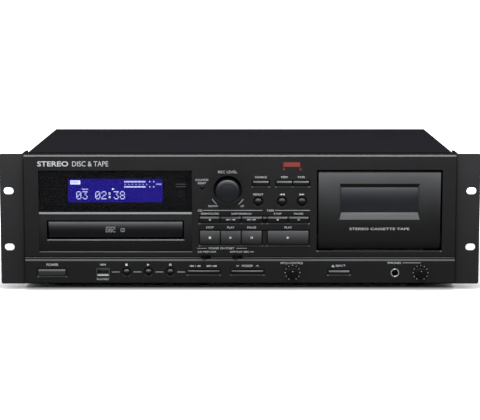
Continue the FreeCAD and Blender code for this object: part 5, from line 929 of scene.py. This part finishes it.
class LightScreen(bpy.types.Operator):
    """Put the lit screen, its characters, the level bars and the sensor behind the window"""
    bl_idname = "deck.light_screen"
    bl_label = "Screen"

    def execute(self, context):
        low, high = in_mm(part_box("screen_module"))
        edge, gap = 3.5, 0.1
        left, right = low.x + edge, high.x - edge
        bottom, top = low.z + edge / 2, high.z - edge / 2
        front = low.y + 0.35
        bm = bmesh.new()
        prism(bm, box_points(left + gap, right - gap, bottom + gap, top - gap), front, front + 0.3)
        piece("screen_glass", bm, "lit_screen")
        ink = Ink("screen_module")
        self.fill(ink, left, top)
        ink.level("screen_characters", "lit_characters", front - 0.12, front - 0.03)
        mode = Ink("screen_module")
        mode.word("DISC", left + 7.4, top - 3.6, 7.6, 2.1, bold=0.01)
        mode.level("screen_mode_word", "mask_print", front - 0.18, front - 0.09)
        self.mask_window(left, right, bottom, top)

        back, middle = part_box("display_window")[1].y / MM + 0.04, -59
        bm = bmesh.new()
        for z in (MIDDLE + 35.5, MIDDLE + 33.1):
            prism(bm, around(middle, z, 10.8, 1.1), back, back + 0.1)
        piece("level_bars", bm, "pane_print")
        bm = bmesh.new()
        turned(bm, (middle, MIDDLE + 26.1), [(0, back), (3.6, back), (4, back + 0.1), (4, back + 2),
                                             (0, back + 2)], 40)
        piece("remote_sensor", bm, "sensor_lens")
        return {"FINISHED"}

    def mask_window(self, left, right, bottom, top):
        """The black print on the inside of the window, open where the screen shows."""
        window_low, window_high = in_mm(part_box("display_window"))
        front = window_high.y + 0.15
        bm = bmesh.new()
        for sides in ((window_low.x, left, window_low.z, window_high.z),
                      (right, window_high.x, window_low.z, window_high.z),
                      (left, right, window_low.z, bottom), (left, right, top, window_high.z)):
            prism(bm, box_points(*sides), front, front + 0.1)
        piece("window_mask", bm, "mask_print")

    def fill(self, ink, left, top):
        """What the screen shows: a mode box, a level meter, the track and its time."""
        def block(x, z, width, height):
            """A block from its left and top place on the screen."""
            ink.shape(box_points(left + x, left + x + width, top - z - height, top - z))

        block(2.4, 1.6, 10, 4)
        ink.word("TRACK", left + 17, top - 10.6, 7, 1.4)
        triangle(ink, left + 45.5, top - 10.3, 2.6, 2)
        dotted(ink, "03", left + 8.4, top - 12.6, 1.03)
        dotted(ink, "02:38", left + 27.4, top - 12.6, 1.03)
        for row in (2.2, 7.4):
            for step in range(16):
                block(56.5 + step * 1.35, row, 0.8, 1.4)
            for x in (81.5, 85.5):
                block(x, row + 0.2, 1, 1)
        for step in range(7):
            block(57 + step * 3.6, 5.2, 0.8, 0.7)
        ink.word("OVER", left + 91, top - 5.4, 5.5, 1.3)


class FitLamps(bpy.types.Operator):
    """Fit the recording lamps"""
    bl_idname = "deck.fit_lamps"
    bl_label = "Lamps"

    def execute(self, context):
        radius, seat = 1.0, FACE + 0.05
        dome = [(radius * math.cos(a), FACE - radius * 0.55 * math.sin(a)) for a in (0.4, 0.8, 1.2)]
        profile = [(0, seat), (radius, seat)] + dome + [(0, FACE - radius * 0.57)]
        for name, x in (("memory_record_lamp", 43.9), ("tape_record_lamp", 60.5)):
            bm = bmesh.new()
            turned(bm, (x, MIDDLE + 50.7), profile, 24)
            piece(name, bm, "red_lamp")
        return {"FINISHED"}


class FitSockets(bpy.types.Operator):
    """Fit the headphone socket's bright ring, the port's tongue, a painted highlight below the port and
    the knobs' pointers
    """
    bl_idname = "deck.fit_sockets"
    bl_label = "Sockets"

    def execute(self, context):
        jack, face = middle_of("headphone_jack"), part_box("headphone_jack")[0].y / MM
        inner, outer = 3.45, 4.0
        profile = [(inner, 0.7), (inner, 0.05), (inner + 0.15, -0.12), (outer - 0.15, -0.12),
                   (outer, 0.05), (outer, 0.1), (inner + 0.25, 0.1), (inner + 0.25, 0.7)]
        bm = bmesh.new()
        turned(bm, (jack.x, jack.z), [(radius, face + y) for radius, y in profile], 64)
        piece("jack_ring", bm, "ring_plating")
        port_low, port_high = in_mm(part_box("memory_port"))
        middle = (port_low.x + port_high.x) / 2
        bm = bmesh.new()
        prism(bm, box_points(middle - 5.5, middle + 5.5, port_low.z + 0.45, port_low.z + 1.5),
              port_low.y + 0.05, port_low.y + 0.9)
        piece("port_tongue_tip", bm, "white_moulding")
        # A painted highlight on the lower lip of the port's recess.
        ink = Ink("front_panel")
        ink.rule(port_low.x - 0.8, port_high.x + 0.8, port_low.z - 1.1, 0.4)
        ink.lay("port_lip_painted_highlight", "painted_lip_highlight", BAND)
        for node in ("pitch_knob", "phones_knob"):
            knob = middle_of(node)
            ink = Ink(node)
            ink.shape(circle(knob.x, knob.z + 2.6, 0.4, 12))
            ink.lay(node + "_pointer", "white_print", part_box(node)[0].y / MM)
        return {"FINISHED"}


class DressRear(bpy.types.Operator):
    """Print the rear panel, colour its line sockets and drive the case's screws"""
    bl_idname = "deck.dress_rear"
    bl_label = "Rear and screws"

    def execute(self, context):
        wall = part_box("rear_panel")[1].y / MM
        height = measure("large_label")
        ink = Ink("rear_panel", REAR_SIDE)
        block = in_mm(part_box("line_socket_block"))
        columns = [(block[0].x + block[1].x) / 2 + step for step in (-28, 0, 28)]
        rows = [MIDDLE - 10, MIDDLE + 4]
        profile = [(4.2, wall + 0.02), (4.2, wall + 0.9), (5.4, wall + 0.9), (5.8, wall + 0.5),
                   (5.8, wall + 0.02)]
        for x, text in zip(columns, ("CD OUT", "TAPE IN", "TAPE OUT")):
            ink.word(text, x, rows[1] + 11, height=height)
            for z, row, finish_name in zip(rows, ("right", "left"), ("red_moulding", "white_moulding")):
                bm = bmesh.new()
                turned(bm, (x, z), profile)
                piece("socket_%s_%s" % (text.lower().replace(" ", "_"), row), bm, finish_name)
        for z, text in zip(rows, "RL"):
            ink.word(text, columns[2] + 10, z, height=height)
        inlet = in_mm(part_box("power_inlet"))
        ink.word("AC IN", (inlet[0].x + inlet[1].x) / 2, inlet[1].z + 5, height=height)
        ink.lay("rear_print", "white_print", wall)

        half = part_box("top_cover")[1].x / MM
        heads = bmesh.new()
        for side in (-1, 1):
            for z in (34, 108):
                self.screw(heads, (side * (half - 5), REAR, z), (0, 1, 0))
            for y in (-70, 85):
                self.screw(heads, (side * half, y, 26), (side, 0, 0))
        for x in (-150, 0, 150):
            self.screw(heads, (x, REAR, PANEL_HIGH.z - 4.2), (0, 1, 0))
        piece("case_screws", heads, "dark_plating")
        return {"FINISHED"}

    def screw(self, bm, place, outward):
        """A round head with a cross recess, standing on the case."""
        radius, rise, depth = measure("screw"), 1.5, 0.7
        arm, reach = 0.16, 0.52
        rings = [[bm.verts.new((x, y, rise * height)) for x, y in circle(0, 0, radius * share, 24)]
                 for share, height in ((1, 0), (1, 0.35), (0.86, 0.78), (0.6, 1))]
        bm.faces.new(rings[0][::-1])
        for lower, upper in zip(rings, rings[1:]):
            skin(bm, lower, upper)
        cross = [(arm, arm), (arm, reach), (-arm, reach), (-arm, arm), (-reach, arm), (-reach, -arm),
                 (-arm, -arm), (-arm, -reach), (arm, -reach), (arm, -arm), (reach, -arm), (reach, arm)]
        mouth, floor = [[bm.verts.new((radius * x * share, radius * y * share, z)) for x, y in cross]
                        for share, z in ((1, rise), (0.9, rise * (1 - depth)))]
        skin(bm, mouth, floor)
        bm.faces.new(floor)
        edges = [bm.edges.get((loop[k], loop[(k + 1) % len(loop)]))
                 for loop in (rings[-1], mouth) for k in range(len(loop))]
        bmesh.ops.triangle_fill(bm, edges=edges, use_beauty=True)
        corners = sum(rings, []) + mouth + floor
        turn = Vector((0, 0, 1)).rotation_difference(Vector(outward)).to_matrix().to_4x4()
        bmesh.ops.transform(bm, matrix=turn, verts=corners)
        bmesh.ops.translate(bm, vec=Vector(place), verts=corners)


# Stage

class SetStage(bpy.types.Operator):
    """Set the floor, the lamps, the world and the camera"""
    bl_idname = "deck.set_stage"
    bl_label = "Stage"

    def execute(self, context):
        scene = context.scene
        setup = scene.deck_stage
        self.lay_floor(scene)
        self.light_world(scene, setup)
        target = Vector((0, -0.1, 0.07))
        for name, place, size, power in (("softbox", (0, -0.29, 1.5), (1.1, 0.36), setup.softbox),
                                         ("front_fill", (0, -1.75, 1.15), (0.9, 0.26), setup.fill)):
            lamp = bpy.data.objects.new(name, bpy.data.lights.new(name, "AREA"))
            lamp.data.shape = "RECTANGLE"
            lamp.data.size, lamp.data.size_y = size
            lamp.data.energy = power
            lamp.location = place
            lamp.rotation_euler = (target - Vector(place)).to_track_quat("-Z", "Y").to_euler()
            scene.collection.objects.link(lamp)
        camera = bpy.data.objects.new("camera", bpy.data.cameras.new("camera"))
        camera.data.sensor_width = 36
        camera.data.lens = setup.lens
        camera.location = (0, -setup.distance, setup.height)
        camera.rotation_euler = (math.pi / 2 - setup.tilt, 0, 0)
        camera.data.clip_end = 100
        scene.collection.objects.link(camera)
        scene.camera = camera
        scene.view_settings.view_transform = "Standard"
        return {"FINISHED"}

    def show(self, tree, lit, direct, output):
        """Gives one shader to the light and the other to the rays that show the background: from the
        camera, in gloss and through glass."""
        path = add(tree, "LightPath").outputs
        shown = maths(tree, "MAXIMUM", path["Is Camera Ray"], path["Is Glossy Ray"])
        shown = maths(tree, "MAXIMUM", shown, path["Is Transmission Ray"])
        both = add(tree, "MixShader", {0: shown, 1: lit.outputs[0], 2: direct.outputs[0]})
        add(tree, output, {"Surface": both.outputs[0]})

    def lay_floor(self, scene):
        mesh = bpy.data.meshes.new("floor")
        reach, level = 60.0, -0.0002
        corners = [(x, y, level) for x, y in box_points(-reach, reach, -reach, reach)]
        mesh.from_pydata(corners, [], [(0, 1, 2, 3)])
        floor = bpy.data.objects.new("floor", mesh)
        scene.collection.objects.link(floor)
        material = bpy.data.materials.new("paper_floor")
        material.use_nodes = True
        tree = material.node_tree
        tree.nodes.clear()
        place = add(tree, "TexCoord").outputs["Object"]
        # Painted light on the floor: an emission that grows with distance from the case and in front of
        # it, so the object's shadow stays only close to the case.
        stretched = add(tree, "VectorMath", {0: place, 1: (1.5, 2.6, 1)}, operation="MULTIPLY")
        away = add(tree, "VectorMath", {0: stretched.outputs[0]}, operation="LENGTH")
        painted_light_share = maths(tree, "MAXIMUM", ranged(tree, away.outputs["Value"], 0.5, 0.75),
                    ranged(tree, along(tree, place, "Y"), -0.1155, -0.1445))
        paper = mixed(tree, noise(tree, place, 300), grey(0.78), grey(0.82))
        bounce = add(tree, "BsdfDiffuse", {"Color": paper})
        white = add(tree, "BsdfDiffuse", {"Color": (1, 1, 1, 1)})
        painted_glow = add(tree, "Emission", {"Strength": painted_light_share})
        direct = add(tree, "AddShader", {0: white.outputs[0], 1: painted_glow.outputs[0]})
        self.show(tree, bounce, direct, "OutputMaterial")
        mesh.materials.append(material)

    def light_world(self, scene, setup):
        world = bpy.data.worlds.new("studio")
        world.use_nodes = True
        tree = world.node_tree
        tree.nodes.clear()
        room = add(tree, "Background", {"Color": (0.93, 0.96, 1.0, 1), "Strength": setup.sky})
        white = add(tree, "Background", {"Color": (1, 1, 1, 1), "Strength": 1.0})
        self.show(tree, room, white, "OutputWorld")
        scene.world = world


STEPS = [FinishFrame, PrintPanel, PrintBand, PrintKeys, DressDoor, LightScreen, FitLamps, FitSockets,
         DressRear, SetStage]


class DeckPanel(bpy.types.Panel):
    """Buttons for each step and the settings they use"""
    bl_idname = "VIEW3D_PT_rack_deck"
    bl_label = "Rack deck"
    bl_space_type = "VIEW_3D"
    bl_region_type = "UI"
    bl_category = "Rack deck"

    def draw(self, context):
        for step in STEPS:
            self.layout.operator(step.bl_idname)
        for name, group in SETTINGS.items():
            box = self.layout.box()
            for key in group.__annotations__:
                box.prop(getattr(context.scene, name), key)


def register():
    for name, group in SETTINGS.items():
        bpy.utils.register_class(group)
        setattr(bpy.types.Scene, name, PointerProperty(type=group))
    for item in STEPS + [DeckPanel]:
        bpy.utils.register_class(item)


def unregister():
    for item in reversed(STEPS + [DeckPanel]):
        bpy.utils.unregister_class(item)
    for name, group in SETTINGS.items():
        delattr(bpy.types.Scene, name)
        bpy.utils.unregister_class(group)


def main():
    register()
    for step in STEPS:
        group, name = step.bl_idname.split(".")
        getattr(getattr(bpy.ops, group), name)()


if __name__ == "__main__":
    main()
